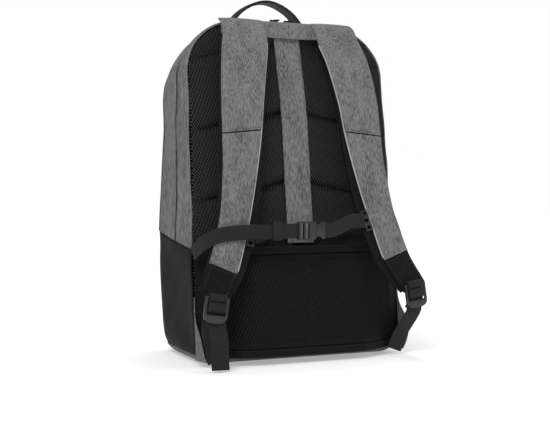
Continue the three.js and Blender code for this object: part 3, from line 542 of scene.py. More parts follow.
def slump(points, depth):
    """How far filled cloth swells or sinks at points, by a soft pattern."""
    x, y, z = points[..., 0], points[..., 1], points[..., 2]
    wave = np.sin(z / 31 + x / 57 + 1.3) * np.sin(y / 26 - z / 83)
    wave = wave + 0.5 * np.sin(z / 17 - y / 33 + 0.7) * np.sin(x / 29 + z / 47)
    wave = wave + 0.35 * np.sin(z / 9.5 + y / 21) * np.sin(x / 19 - y / 12 + 2)
    return wave * depth


# Meshes


def grid_faces(rows, columns, start=0, closed=False):
    """Quads of a grid of points, whose columns may close on themselves."""
    i = np.arange(rows - 1)[:, None]
    j = np.arange(columns if closed else columns - 1)[None, :]
    k = (j + 1) % columns
    a = start + i * columns + j
    b = start + i * columns + k
    return np.stack([a, b, b + columns, a + columns], axis=-1).reshape(-1, 4).tolist()


def link(mesh, name):
    piece = bpy.data.objects.new(name, mesh)
    bpy.context.scene.collection.objects.link(piece)
    return piece


def make_mesh(name, points, faces, edges=()):
    mesh = bpy.data.meshes.new(name)
    mesh.from_pydata((np.asarray(points, float).reshape(-1, 3) * MM).tolist(), list(edges), faces)
    mesh.update()
    return mesh


def join_grids(name, grids, middle):
    """One mesh of several grids of points that share their borders, facing away from a middle point."""
    points = []
    faces = []
    for grid in grids:
        start = sum(len(p) for p in points)
        faces += grid_faces(grid.shape[0], grid.shape[1], start)
        points.append(grid.reshape(-1, 3))
    mesh = make_mesh(name, np.vstack(points), faces)
    work = bmesh.new()
    work.from_mesh(mesh)
    bmesh.ops.remove_doubles(work, verts=work.verts, dist=0.05 * MM)
    bmesh.ops.recalc_face_normals(work, faces=work.faces)
    middle = np.array(middle) * MM
    facing = sum(np.dot(np.array(face.calc_center_median()) - middle, face.normal) for face in work.faces)
    if facing < 0:
        bmesh.ops.reverse_faces(work, faces=work.faces)
    work.to_mesh(mesh)
    work.free()
    return mesh


def smoothed(mesh, angle=None):
    """Shades a mesh smooth, but sharp over edges steeper than the angle."""
    mesh.shade_smooth()
    if angle is not None:
        mesh.set_sharp_from_angle(angle=math.radians(angle))
    return mesh


def skin(name, grids, material, thickness, slump_depth=0.0):
    """A cloth panel of the bag: its outer face with a wall's thickness inward."""
    mesh = join_grids(name, grids, (0, 10, 240))
    if slump_depth:
        count = len(mesh.vertices)
        points = np.empty(count * 3)
        mesh.vertices.foreach_get("co", points)
        points = points.reshape(-1, 3) / MM
        normals = np.empty(count * 3)
        mesh.vertex_normals.foreach_get("vector", normals)
        points = points + normals.reshape(-1, 3) * slump(points, slump_depth / MM)[:, None]
        mesh.vertices.foreach_set("co", (points * MM).ravel())
        mesh.update()
    piece = link(smoothed(mesh, 50), name)
    wall = piece.modifiers.new("Wall", "SOLIDIFY")
    wall.thickness = thickness * MM
    wall.offset = -1
    mesh.materials.append(material)
    return piece


def closed_rings(outer, inner):
    """Rings that run along an outer face and back along an inner one."""
    return np.concatenate([outer, inner[:, ::-1]], axis=1)


def loft(name, rings, material, angle=60):
    """A closed body through rings of points, its ends filled."""
    rings = np.asarray(rings, float)
    rows, columns = rings.shape[:2]
    faces = grid_faces(rows, columns, closed=True)
    faces.append(list(range(columns))[::-1])
    faces.append([(rows - 1) * columns + i for i in range(columns)])
    mesh = make_mesh(name, rings, faces)
    work = bmesh.new()
    work.from_mesh(mesh)
    bmesh.ops.recalc_face_normals(work, faces=work.faces)
    work.to_mesh(mesh)
    work.free()
    mesh.materials.append(material)
    return link(smoothed(mesh, angle), name)


def tube(name, path, radius, material, sides=8):
    """A round cord along a path of points."""
    path = np.asarray(path, float)
    along = unit(np.gradient(path, axis=0))
    across = unit(np.cross(along, (0.31, 0.87, 0.37)))
    other = np.cross(across, along)
    turns = np.linspace(0, 2 * np.pi, sides, endpoint=False)
    rings = (
        path[:, None]
        + radius * np.cos(turns)[None, :, None] * across[:, None]
        + radius * np.sin(turns)[None, :, None] * other[:, None]
    )
    return loft(name, rings, material)


def path_frames(path, across):
    """Direction, width and face of a band along a path."""
    along = unit(np.gradient(np.asarray(path, float), axis=0))
    across = np.broadcast_to(across, along.shape)
    across = unit(across - along * np.sum(across * along, axis=-1, keepdims=True))
    return along, across, np.cross(along, across)


def flat_profile(width, thickness, power=8, count=15, crown=0.0):
    """A strap's section: [across, face] points round a flat bar with rolled edges."""
    turns = np.linspace(-np.pi / 2, np.pi / 2, count)
    u = np.sin(turns)
    rim = (1 - np.abs(u) ** power) ** (1 / power)
    top = np.stack([u * width / 2, rim * thickness / 2 + crown * (1 - u * u)], axis=-1)
    bottom = np.stack([u * width / 2, -rim * thickness / 2 + 0 * u], axis=-1)
    return np.vstack([top, bottom[-2:0:-1]])


def ribbon(name, path, across, width, thickness, material, crown=0.0):
    """Webbing along a path, with its own length and width in its UV map."""
    _, side, face = path_frames(path, across)
    profile = flat_profile(width, thickness, crown=crown)
    rings = (
        np.asarray(path)[:, None]
        + profile[None, :, 0, None] * side[:, None]
        + profile[None, :, 1, None] * face[:, None]
    )
    piece = loft(name, rings, material)
    steps = np.linalg.norm(np.diff(path, axis=0), axis=1)
    length = np.concatenate([[0], np.cumsum(steps)])
    uv = np.stack(np.broadcast_arrays(profile[None, :, 0], length[:, None]), axis=-1).reshape(-1, 2)
    layer = piece.data.uv_layers.new(name="webbing")
    corners = np.empty(len(piece.data.loops), int)
    piece.data.loops.foreach_get("vertex_index", corners)
    layer.data.foreach_set("uv", (uv[corners] * MM).ravel())
    return piece


def place_piece(piece, slot, *nodes):
    """A finished piece rides on the bag and stands for its solids. Its slot is not used."""
    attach(piece, BODY)
    if nodes:
        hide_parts(*nodes)
    return piece


def refined(node, material, slot, bevel):
    """A hard part: its solid with clean faces and small rounded edges."""
    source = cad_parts[node]
    mesh = source.data.copy()
    mesh.transform(source.matrix_world)
    mesh.materials.clear()
    work = bmesh.new()
    work.from_mesh(mesh)
    bmesh.ops.remove_doubles(work, verts=work.verts, dist=0.02 * MM)
    bmesh.ops.dissolve_limit(
        work, angle_limit=math.radians(1), verts=work.verts, edges=work.edges, use_dissolve_boundaries=False,
    )
    bmesh.ops.recalc_face_normals(work, faces=work.faces)
    turn = math.radians(35)
    sharp = [edge for edge in work.edges if len(edge.link_faces) == 2 and edge.calc_face_angle() > turn]
    bmesh.ops.bevel(
        work, geom=sharp, offset=bevel * MM, segments=2, profile=0.6, affect="EDGES", clamp_overlap=True,
    )
    work.to_mesh(mesh)
    work.free()
    mesh.name = node + "_moulding"
    mesh.materials.append(material)
    return place_piece(link(smoothed(mesh, 40), mesh.name), slot, node)


# Materials


def add_node(tree, kind, inputs=None, **settings):
    """Adds a node to a tree, with its settings and with its inputs linked or set."""
    node = tree.nodes.new(kind)
    for name, value in settings.items():
        setattr(node, name, value)
    for name, value in (inputs or {}).items():
        socket = node.inputs[name]
        if isinstance(value, bpy.types.NodeSocket):
            tree.links.new(value, socket)
        else:
            socket.default_value = value
    return node.outputs


class Weaver:
    """Adds nodes to a material in a line or two each."""

    def __init__(self, name, **sockets):
        self.material = bpy.data.materials.new(name)
        self.material.use_nodes = True
        self.tree = self.material.node_tree
        self.shader = self.tree.nodes["Principled BSDF"]
        for socket, value in sockets.items():
            self.shader.inputs[socket.replace("_", " ")].default_value = value

    def node(self, kind, inputs=None, **settings):
        return add_node(self.tree, "ShaderNode" + kind, inputs, **settings)[0]

    def math(self, operation, *values):
        return self.node("Math", dict(enumerate(values)), operation=operation)

    def position(self, scale=(1, 1, 1), turn=(0, 0, 0), source="Object"):
        coordinates = self.tree.nodes.new("ShaderNodeTexCoord")
        inputs = {"Vector": coordinates.outputs[source], "Scale": scale, "Rotation": turn}
        return self.node("Mapping", inputs)

    def noise(self, vector, scale, detail=2.0, roughness=0.5):
        return self.node(
            "TexNoise", {"Vector": vector, "Scale": scale, "Detail": detail, "Roughness": roughness},
        )

    def ramp(self, value, low, high, start=(0, 0, 0, 1), end=(1, 1, 1, 1)):
        result = self.node("ValToRGB", {"Fac": value})
        elements = result.node.color_ramp.elements
        elements[0].position, elements[1].position = low, high
        elements[0].color, elements[1].color = start, end
        return result

    def colour(self, socket):
        self.tree.links.new(socket, self.shader.inputs["Base Color"])

    def roughness(self, socket):
        self.tree.links.new(socket, self.shader.inputs["Roughness"])

    def relief(self, height, distance, strength=1.0):
        normal = self.node("Bump", {"Height": height, "Distance": distance, "Strength": strength})
        self.tree.links.new(normal, self.shader.inputs["Normal"])


def opaque(colour, factor=1.0):
    return tuple(min(channel * factor, 1) for channel in colour) + (1,)


def heather_material(colours, sizes):
    """Grey cloth of mixed threads: upright flecks over a fine plain weave."""
    cloth = Weaver("heather_cloth", Roughness=0.9, Specular_IOR_Level=0.25)
    flecks = cloth.noise(cloth.position((1, 1, 0.16)), 620, 3, 0.62)
    patches = cloth.noise(cloth.position((1, 1, 0.3)), 55, 3, 0.5)
    threads = cloth.noise(cloth.position((1, 1, 1)), 1500, 1)
    tone = cloth.math("MULTIPLY_ADD", patches, 0.35, flecks)
    tone = cloth.math("MULTIPLY_ADD", threads, 0.35, tone)
    cloth.colour(cloth.ramp(tone, 0.6, 1.1, opaque(colours.heather_dark), opaque(colours.heather_light)))
    weave = 2 * math.pi / sizes.weave
    parts = cloth.node("SeparateXYZ", {"Vector": cloth.position()}).node.outputs
    waves = [cloth.math("SINE", cloth.math("MULTIPLY", part, weave)) for part in parts]
    flat = cloth.math("ADD", waves[0], waves[1])
    weft = cloth.math("MULTIPLY_ADD", waves[2], 0.5, cloth.math("MULTIPLY", flat, 0.25))
    creases = cloth.noise(cloth.position((1, 1, 0.5)), 26, 3, 0.55)
    folds = cloth.node("Bump", {"Height": creases, "Distance": 0.0035, "Strength": 0.35})
    fine = cloth.math("MULTIPLY_ADD", threads, 0.8, weft)
    normal = cloth.node("Bump", {"Height": fine, "Distance": 0.00022, "Strength": 0.7, "Normal": folds})
    cloth.tree.links.new(normal, cloth.shader.inputs["Normal"])
    return cloth.material


def black_material(colours):
    """Smooth black cloth with a close weave and a soft sheen."""
    cloth = Weaver("black_cloth", Roughness=0.66, Specular_IOR_Level=0.1)
    grain = cloth.noise(cloth.position(), 1300, 2)
    patches = cloth.noise(cloth.position(), 24, 3)
    tone = cloth.math("MULTIPLY_ADD", patches, 0.6, grain)
    cloth.colour(cloth.ramp(tone, 0.5, 1.2, opaque(colours.black, 0.75), opaque(colours.black, 1.35)))
    cloth.relief(grain, 0.0002, 0.6)
    return cloth.material


def mesh_material(name, colours, sizes, bright=1):
    """Air mesh: slanting strands, with painted shade in the holes between them over the mesh's own dark
    backing.
    """
    cloth = Weaver(name, Roughness=0.75, Specular_IOR_Level=0.06)
    step = 2 * math.pi / sizes.mesh_pitch
    warp = cloth.noise(cloth.position(), 60, 2)
    parts = cloth.node("SeparateXYZ", {"Vector": cloth.position()}).node.outputs
    wander = cloth.math("MULTIPLY", warp, 0.0012)
    across = cloth.math("ADD", parts[0], wander)
    rising = cloth.math("MULTIPLY_ADD", parts[2], 0.75, across)
    falling = cloth.math("MULTIPLY_ADD", parts[2], -0.42, across)
    strand = cloth.math("SINE", cloth.math("MULTIPLY", rising, step))
    crossing = cloth.math("SINE", cloth.math("MULTIPLY", falling, step * 0.8))
    knit = cloth.math("MULTIPLY_ADD", crossing, 0.55, strand)
    knit = cloth.math("MULTIPLY_ADD", cloth.noise(cloth.position(), 900, 2), 0.8, knit)
    # Painted shade: the holes take three hundredths of the strands' colour, darker than the black backing
    # alone.
    shaded_hole, thread = opaque(colours.mesh, 0.03 * bright), opaque(colours.mesh, bright)
    cloth.colour(cloth.ramp(knit, 0.3, 1.7, shaded_hole, thread))
    cloth.relief(knit, 0.0005, 0.8)
    return cloth.material


def webbing_material(colours):
    """Black webbing with a rib across it and a fine twill."""
    cloth = Weaver("webbing", Roughness=0.6, Specular_IOR_Level=0.25)
    parts = cloth.node("SeparateXYZ", {"Vector": cloth.position(source="UV")}).node.outputs
    rib = cloth.math("SINE", cloth.math("MULTIPLY", parts[1], 2 * math.pi / 0.0016))
    slant = cloth.math("MULTIPLY_ADD", parts[0], 1.2, parts[1])
    twill = cloth.math("SINE", cloth.math("MULTIPLY", slant, 2 * math.pi / 0.0021))
    weave = cloth.math("MULTIPLY_ADD", twill, 0.5, rib)
    weave = cloth.math("MULTIPLY_ADD", cloth.noise(cloth.position(), 1500, 2), 0.8, weave)
    cloth.colour(cloth.ramp(weave, 0.0, 1.6, opaque(colours.webbing, 0.6), opaque(colours.webbing, 1.5)))
    cloth.relief(weave, 0.0003, 0.7)
    return cloth.material


def plain_material(name, colour, roughness, grain, depth, **sockets):
    """A moulded, cast or sewn finish with a fine grain and slightly uneven gloss."""
    finish = Weaver(name, Roughness=roughness, Base_Color=opaque(colour), **sockets)
    spots = finish.noise(finish.position(), grain, 3)
    finish.roughness(finish.math("MULTIPLY_ADD", spots, 0.25, roughness - 0.12))
    finish.relief(spots, depth, 0.5)
    return finish.material


MATERIALS = {}


def make_materials():
    colours = bpy.context.scene.backpack_colours
    sizes = bpy.context.scene.backpack_sizes
    MATERIALS.update(
        heather=heather_material(colours, sizes),
        black=black_material(colours),
        mesh=mesh_material("mesh_cloth", colours, sizes),
        sleeve=mesh_material("sleeve_mesh_cloth", colours, sizes, 0.4),
        webbing=webbing_material(colours),
        plastic=plain_material("moulded_plastic", colours.plastic, 0.38, 900, 0.00008),
        metal=plain_material("slider_metal", (0.05, 0.05, 0.05), 0.35, 700, 0.00004, Metallic=0.85),
        tape=plain_material("zipper_tape", (0.018, 0.018, 0.018), 0.7, 1800, 0.0002),
        teeth=plain_material("zipper_teeth", (0.03, 0.03, 0.03), 0.35, 900, 0.00004),
        thread=plain_material("black_thread", (0.03, 0.03, 0.03), 0.7, 2500, 0.0001),
        grey_thread=plain_material("grey_thread", (0.2, 0.2, 0.2), 0.8, 2500, 0.0001),
        binding=plain_material("grey_binding", (0.34, 0.34, 0.34), 0.8, 1500, 0.0002),
    )


# Stitches and teeth along a line


def repeat_tree(name, length, width, height, pitch, material):
    """Geometry Nodes that set small bars along a line, each lying on the line's own normal."""
    tree = bpy.data.node_groups.new(name, "GeometryNodeTree")
    tree.interface.new_socket("Geometry", in_out="INPUT", socket_type="NodeSocketGeometry")
    sockets = {}
    for label, value in (("Length", length), ("Width", width), ("Height", height), ("Pitch", pitch)):
        socket = tree.interface.new_socket(label, in_out="INPUT", socket_type="NodeSocketFloat")
        socket.default_value = value
        sockets[label] = socket.identifier
    tree.interface.new_socket("Geometry", in_out="OUTPUT", socket_type="NodeSocketGeometry")
    start = add_node(tree, "NodeGroupInput")
    curve = add_node(tree, "GeometryNodeMeshToCurve", {"Mesh": start["Geometry"]})
    spacing = {"Curve": curve[0], "Length": start["Pitch"]}
    even = add_node(tree, "GeometryNodeResampleCurve", spacing, mode="LENGTH")
    sides = {"X": start["Length"], "Y": start["Width"], "Z": start["Height"]}
    size = add_node(tree, "ShaderNodeCombineXYZ", sides)
    bar = add_node(tree, "GeometryNodeMeshCube", {"Size": size[0]})
    soft = add_node(tree, "GeometryNodeSubdivisionSurface", {"Mesh": bar["Mesh"], "Level": 1})
    tangent = add_node(tree, "GeometryNodeInputTangent")
    along = add_node(tree, "FunctionNodeAlignRotationToVector", {"Vector": tangent[0]}, axis="X")
    normal = add_node(tree, "GeometryNodeInputNamedAttribute", {"Name": "face"}, data_type="FLOAT_VECTOR")
    turning = {"Rotation": along[0], "Vector": normal["Attribute"]}
    lie = add_node(tree, "FunctionNodeAlignRotationToVector", turning, axis="Z", pivot_axis="X")
    placing = {"Points": even[0], "Instance": soft[0], "Rotation": lie[0]}
    copies = add_node(tree, "GeometryNodeInstanceOnPoints", placing)
    real = add_node(tree, "GeometryNodeRealizeInstances", {0: copies[0]})
    paint = add_node(tree, "GeometryNodeSetMaterial", {"Geometry": real[0], "Material": material})
    add_node(tree, "NodeGroupOutput", {"Geometry": paint[0]})
    return tree, sockets


def line_object(name, lines):
    """A mesh of edges along lines of (points, normals), with the normals kept on its points."""
    points = np.vstack([line[0] for line in lines])
    normals = np.vstack([np.broadcast_to(line[1], line[0].shape) for line in lines])
    edges = []
    start = 0
    for line in lines:
        edges += [(start + i, start + i + 1) for i in range(len(line[0]) - 1)]
        start += len(line[0])
    mesh = make_mesh(name, points, [], edges)
    face = mesh.attributes.new("face", "FLOAT_VECTOR", "POINT")
    face.data.foreach_set("vector", unit(normals).ravel())
    return link(mesh, name)


def repeated(name, lines, material, slot, length, width, height, pitch):
    """Small bars along lines, made a plain mesh."""
    source = line_object(name + "_lines", lines)
    tree, sockets = repeat_tree(name, length, width, height, pitch, material)
    modifier = source.modifiers.new("Repeat", "NODES")
    modifier.node_group = tree
    for label, value in (("Length", length), ("Width", width), ("Height", height), ("Pitch", pitch)):
        modifier[sockets[label]] = value
    graph = bpy.context.evaluated_depsgraph_get()
    mesh = bpy.data.meshes.new_from_object(source.evaluated_get(graph))
    mesh.name = name
    mesh.shade_smooth()
    bpy.data.objects.remove(source)
    return place_piece(link(mesh, name), slot)


STITCH_LINES = {"black": [], "grey": []}


def stitch(colour, points, normals, lift=0.35):
    """Keeps a line to be stitched when all pieces are made, lifted a little off its cloth."""
    normals = np.broadcast_to(np.asarray(normals, float), np.shape(points))
    STITCH_LINES[colour].append((np.asarray(points) + unit(normals) * lift, normals))


class BACKPACK_OT_bag(Operator):
    """Makes the bag's gussets, front, lower shell and base"""

    bl_idname = "backpack.bag"
    bl_label = "Bag"

    def execute(self, context):
        depth = context.scene.backpack_sizes.slump
        side = np.linspace(-1, 1, 211)
        laptop = [deep_on_zip(LAPTOP_ZIP, side, shift) for shift in (-ZIP_WIDTH / 2, ZIP_WIDTH / 2)]
        main = [deep_on_zip(MAIN_ZIP, side, shift) for shift in (-ZIP_WIDTH / 2, ZIP_WIDTH / 2)]
        nothing = np.zeros_like(side)
        self.panel("rear_gusset", nothing, laptop[0], side, 16, depth)
        self.panel("main_gusset", laptop[1], main[0], side, 26, depth)
        self.front(depth)
        self.lower(depth)
        return {"FINISHED"}

    def arched(self, start, end, along, rows, inset=0.0):
        share = np.linspace(0, 1, rows)[:, None]
        deep = mix(start[None, :], end[None, :], share)
        return bag_point(deep, arch(deep, along[None, :]), inset)

    def panel(self, node, start, end, along, rows, depth):
        grid = self.arched(start, end, along, rows)
        piece = skin(node + "_cloth", [grid], MATERIALS["heather"], CLOTH, depth)
        place_piece(piece, "heather_cloth", node)

    def front(self, depth):
        """The front panel: its strip round the arch and the face that closes it."""
        flat = float(flat_end(1.0)[1] / (1 - np.interp(1.0, *ABOVE_SEAM)))
        middle = np.linspace(-flat, flat, 61)[1:-1]
        along = np.concatenate([np.linspace(-1, -flat, 90), middle, np.linspace(flat, 1, 90)])
        start = deep_on_zip(MAIN_ZIP, along, ZIP_WIDTH / 2)
        strip = self.arched(start, np.ones_like(along), along, 14)
        rim = strip[-1]
        left, right = rim[:90], rim[:-91:-1]
        face = self.face(left, right, 61)
        piece = skin("front_panel_cloth", [strip, face], MATERIALS["heather"], CLOTH, depth)
        place_piece(piece, "heather_cloth", "front_panel")

    def face(self, left, right, columns):
        """Rows across the front face between its left and right rims, crowned in the middle."""
        across = np.linspace(0, 1, columns)[None, :, None]
        rows = mix(left[:, None], right[:, None], across)
        near = (rows[..., 0] / (0.85 * HALF_WIDTH)) ** 2
        high = ((rows[..., 2] - BAG_HEIGHT / 2) / (0.46 * BAG_HEIGHT)) ** 2
        rows[..., 1] += FRONT_CROWN * np.clip(1 - near, 0, 1) * np.clip(1 - high, 0, 1) ** 0.6
        return rows

    def lower(self, depth):
        """The black shell below the seam, and the base below it."""
        foot_deep = float(solve(lambda d: section(d)["lift"] * BASE_RADIUS - BASE_SEAM_HEIGHT, 0.9, 1.0))
        deep = np.concatenate([np.linspace(0, foot_deep, 56), np.linspace(foot_deep, 1, 12)[1:]])
        low = np.where(deep < foot_deep, np.interp(deep, *ABOVE_BASE), flat_end(deep)[0])
        low = np.maximum(low, flat_end(deep)[0])
        high = np.interp(deep, *BELOW_SEAM)
        share = np.linspace(0, 1, 46)
        around = mix(low[:, None], high[:, None], share[None, :])
        right = bag_point(deep[:, None], around)
        left = bag_point(deep[:, None], -around)
        face = self.face(left[-1], right[-1], 61)
        toe_deep = deep[deep >= foot_deep]
        across = np.linspace(-1, 1, 61)
        toe = bag_point(toe_deep[:, None], flat_end(toe_deep)[0][:, None] * across[None, :])
        piece = skin("lower_shell_cloth", [left, right, face, toe], MATERIALS["black"], CLOTH, depth)
        place_piece(piece, "black_cloth", "lower_shell")
        base_deep = np.linspace(0, foot_deep, 40)
        reach = np.maximum(np.interp(base_deep, *BELOW_BASE), flat_end(base_deep)[0])
        base = bag_point(base_deep[:, None], reach[:, None] * np.linspace(-1, 1, 121)[None, :])
        piece = skin("base_panel_cloth", [base], MATERIALS["heather"], CLOTH)
        place_piece(piece, "heather_cloth", "base_panel")


class BACKPACK_OT_zippers(Operator):
    """Makes the zippers' tapes, teeth, folded edges, sliders and pulls"""

    bl_idname = "backpack.zippers"
    bl_label = "Zippers"

    def execute(self, context):
        depth = context.scene.backpack_sizes.slump
        along = np.linspace(-1, 1, 211)
        lines = []
        for name, table in (("laptop", LAPTOP_ZIP), ("main", MAIN_ZIP)):
            edges = [deep_on_zip(table, along, shift) for shift in (-ZIP_WIDTH / 2, 0, ZIP_WIDTH / 2)]
            share = np.linspace(0, 1, 5)[:, None]
            deep = mix(edges[0][None, :], edges[2][None, :], share)
            grid = bag_point(deep, arch(deep, along[None, :]), ZIP_RECESS)
            tape = skin(f"{name}_zipper_tape", [grid], MATERIALS["tape"], TAPE_THICKNESS, depth)
            place_piece(tape, "zipper_tape", f"{name}_zipper")
            middle = self.on_skin(edges[1], along, depth, 0.5)
            lines.append((middle, unit(middle - self.on_skin(edges[1], along, depth, 3.5))))
            finish, slot, radius = WELTS[name]
            for number, edge in enumerate((edges[0], edges[2])):
                path = self.on_skin(edge, along, depth, 0.25)
                welt = tube(f"{name}_welt_{number}", path, radius, MATERIALS[finish], 6)
                place_piece(welt, slot)
            for _, side in SIDES:
                refined(f"{name}_slider_{side}", MATERIALS["metal"], "slider_metal", 0.7)
                refined(f"{name}_pull_{side}", MATERIALS["webbing"], "webbing", 0.6)
        for number, line in enumerate(lines):
            repeated(
                f"zipper_teeth_{number}", [line], MATERIALS["teeth"], "zipper_tape",
                *TOOTH_SIZE, TOOTH_PITCH * MM,
            )
        return {"FINISHED"}

    def on_skin(self, deep, along, depth, inset):
        points = bag_point(deep, arch(deep, along), inset)
        outward = unit(bag_point(deep, arch(deep, along)) - bag_point(deep, arch(deep, along), 5))
        return points + outward * slump(points, depth / MM)[:, None]


# Back


def pad_rise(x, z):
    """How far the padding stands off the back plane, before its channels."""
    sides = np.maximum(0, 1 - (np.abs(x) / (0.99 * HALF_WIDTH)) ** 6)
    crown = mix(1, 0.09, smooth((z / BAG_HEIGHT - 0.68) / 0.28))
    foot = mix(0.2, 1, smooth((z - SLEEVE_TOP) / (2 * HEM_HEIGHT)))
    return PADDING * sides * crown * foot


def channel_heights(x):
    """Heights of the three sewn channels at x: they drop to the sides."""
    drop = CHANNEL_DROP * np.abs(x) / (1.05 * HALF_WIDTH)
    return [TOP_CHANNEL_HEIGHT - n * CHANNEL_SPACING - drop for n in range(3)]


def panel_half(z):
    """Half the back panel's width at z, inside the bag's back edge."""
    inset = WALL + SEAM_GAP
    row = section(np.zeros_like(z))
    foot, top, low, high, wide, low_centre, high_centre = section_corners(row, inset)
    low_arc = low_centre + np.sqrt(np.maximum(0, low**2 - (foot + low - z) ** 2))
    high_arc = high_centre + wide * np.sqrt(np.maximum(0, 1 - ((z - top + high) / high) ** 2))
    side = half_at(row, z) - inset
    return np.where(z < foot + low, low_arc, np.where(z > top - high, high_arc, side))


def pad_face(x, z):
    """The padding's face with its channels pressed in, as distance off the back plane."""
    rise = pad_rise(x, z)
    press = 0
    pucker = 0
    wave = np.sin(x / 3.7 + np.sin(x / 11)) + 0.6 * np.sin(x / 2.3 + 1)
    for height in channel_heights(x):
        press = press + 0.45 * bump(z, height, 8) + 0.4 * bump(z, height, 2.4) - 0.1 * bump(z, height - 6, 3)
        pucker = pucker + 0.22 * wave * bump(z, height, 9)
    sides = np.clip(rise / 2, 0, 1)
    return rise - press * sides * np.maximum(0.9 * rise, 5.5) + pucker * sides


class BACKPACK_OT_back(Operator):
    """Makes the padded back, its centre strip and the yoke"""

    bl_idname = "backpack.back"
    bl_label = "Back"

    def execute(self, context):
        self.pads(context)
        self.strip()
        self.yoke()
        return {"FINISHED"}

    def pads(self, context):
        bottom, top = (corner[2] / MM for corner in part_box("back_panel"))
        z = np.linspace(bottom + 0.05, top - 0.05, 230)[:, None]
        u = np.sin(np.linspace(-1, 1, 161) * np.pi / 2 * 0.86) / np.sin(np.pi / 2 * 0.86)
        x = panel_half(z) * u[None, :]
        face = pad_face(x, z)
        front = stack(x, back_at(z) - face, z)
        rear = stack(x, back_at(z) + PANEL_SINK, z)
        piece = loft("back_pads", closed_rings(front, rear), MATERIALS["mesh"], angle=70)
        place_piece(piece, "mesh_cloth", "back_panel")

    def strip(self):
        z = np.linspace(YOKE_FOOT + 6, STRIP_FOOT, 90)
        rest = pad_rise(0 * z, np.maximum(z, SLEEVE_TOP + 2 * HEM_HEIGHT))
        low = sum(bump(z, height, 7) for height in channel_heights(np.zeros(1)))
        y = back_at(z) - rest - 0.6 - STRIP_THICKNESS / 2 + 1.2 * low
        path = stack(0 * z, y, z)
        piece = ribbon(
            "centre_strip_cloth", path, (1, 0, 0), STRIP_WIDTH, STRIP_THICKNESS, MATERIALS["heather"], 0.3,
        )
        place_piece(piece, "heather_cloth", "centre_strip")
        _, _, face = path_frames(path, (1, 0, 0))
        face = np.where(face[:, 1:2] > 0, -face, face)
        for edge in (-1, 1):
            stitch("grey", path + np.array([edge * (STRIP_WIDTH / 2 - STRIP_STITCH_INSET), 0, 0]), face, 1.35)

    def yoke(self):
        share = np.linspace(0, 1, 36)
        rows = [row["up"] for row in YOKE_ROWS]
        up = np.interp(share * 3, range(4), rows)[:, None]
        x = np.linspace(-YOKE_WIDTH / 2, YOKE_WIDTH / 2, 101)[None, :] * look(YOKE_ROWS, up, "wide")
        strap = smooth((np.abs(x) / YOKE_WIDTH - 0.12) / 0.12)
        z = up * BAG_HEIGHT
        front = mix(look(YOKE_ROWS, up, "middle"), look(YOKE_ROWS, up, "front"), strap)
        outer = stack(x, back_at(z) - YOKE_STANDOFF * front, z)
        low = z - np.maximum(look(YOKE_ROWS, up, "drop"), 0) * BAG_HEIGHT
        back = look(YOKE_ROWS, up, "back") * mix(0.6, 1, strap)
        inner = stack(x, back_at(low) - YOKE_STANDOFF * back, low)
        piece = loft("yoke_cloth", closed_rings(outer, inner), MATERIALS["heather"], angle=50)
        place_piece(piece, "heather_cloth", "yoke")


class BACKPACK_OT_sleeve(Operator):
    """Makes the luggage sleeve and its hems"""

    bl_idname = "backpack.sleeve"
    bl_label = "Luggage sleeve"

    def execute(self, context):
        top = SLEEVE_TOP - HEM_HEIGHT
        foot = SLEEVE_FOOT + HEM_HEIGHT
        middle = (foot + 0.2, top - 0.2, 60)
        self.band("sleeve_mesh", *middle, SLEEVE_THICKNESS, "sleeve", "mesh_cloth", "sleeve_panel")
        for node, low, high in (("sleeve_hem_top", top, SLEEVE_TOP), ("sleeve_hem_foot", SLEEVE_FOOT, foot)):
            self.band(node + "_cloth", low, high, 12, HEM_THICKNESS, "black", "black_cloth", node)
        return {"FINISHED"}

    def inside(self, x, z):
        flat = 0.42
        side = np.clip((np.abs(x) / SLEEVE_HALF - flat) / (1 - flat), 0, 1)
        room = SLEEVE_BULGE - SLEEVE_THICKNESS - pad_rise(0 * z, z) - SLEEVE_REST
        room = room * mix(1, 0.86, z / SLEEVE_TOP)
        return back_at(z) - pad_rise(x, z) - SLEEVE_REST - room * (1 - smooth(side) ** 1.2)

    def cushion(self, x, z):
        """1 on the sleeve's two mesh cushions and 0 on the smooth border round them."""
        corner = CUSHION_CORNER
        half_wide = (SLEEVE_HALF - CUSHION_BORDER) / 2
        half_high = (SLEEVE_TOP - SLEEVE_FOOT - 2 * HEM_HEIGHT - CUSHION_GAP) / 2
        middle_z = (SLEEVE_TOP + SLEEVE_FOOT) / 2
        side = np.maximum(np.abs(np.abs(x) - half_wide - 3) - half_wide + corner, 0)
        rise = np.maximum(np.abs(z - middle_z) - half_high + corner, 0)
        return 1 - smooth((np.hypot(side, rise) - corner + 3) / 4)

    def band(self, name, low, high, rows, thickness, material, slot, node):
        share = np.sin(np.linspace(-1, 1, rows) * np.pi / 2) * 0.5 + 0.5
        z = mix(low, high, share)[:, None]
        x = np.linspace(-SLEEVE_HALF, SLEEVE_HALF, 181)[None, :]
        side = np.clip((np.abs(x) / SLEEVE_HALF - 0.9) / 0.1, 0, 1)
        rim = (1 - np.abs(2 * share - 1) ** 7) ** (1 / 5)
        grow = thickness * mix(1, 0.35, side) * mix(0.35, 1, rim)[:, None]
        if node == "sleeve_panel":
            grow = grow + CUSHION_RISE * self.cushion(x, z) - 1.2 * bump(x, 0, 1.6)
        inside = self.inside(x, z) - (SLEEVE_THICKNESS - thickness) / 2
        outer = stack(x, inside - grow, z)
        inner = stack(x, inside, z)
        piece = loft(name, closed_rings(outer, inner), MATERIALS[material])
        place_piece(piece, slot, node)
        if node == "sleeve_panel":
            piece.data.materials.append(MATERIALS["black"])
            for face in piece.data.polygons:
                centre = face.center / MM
                face.material_index = int(self.cushion(centre[0], centre[2]) < 0.4)
        else:
            line = outer[rows // 2]
            for shift in (-3.6, 3.6):
                stitch("black", line + np.array([0, 0, shift]), (0, -1, 0), 0.2)


# Straps


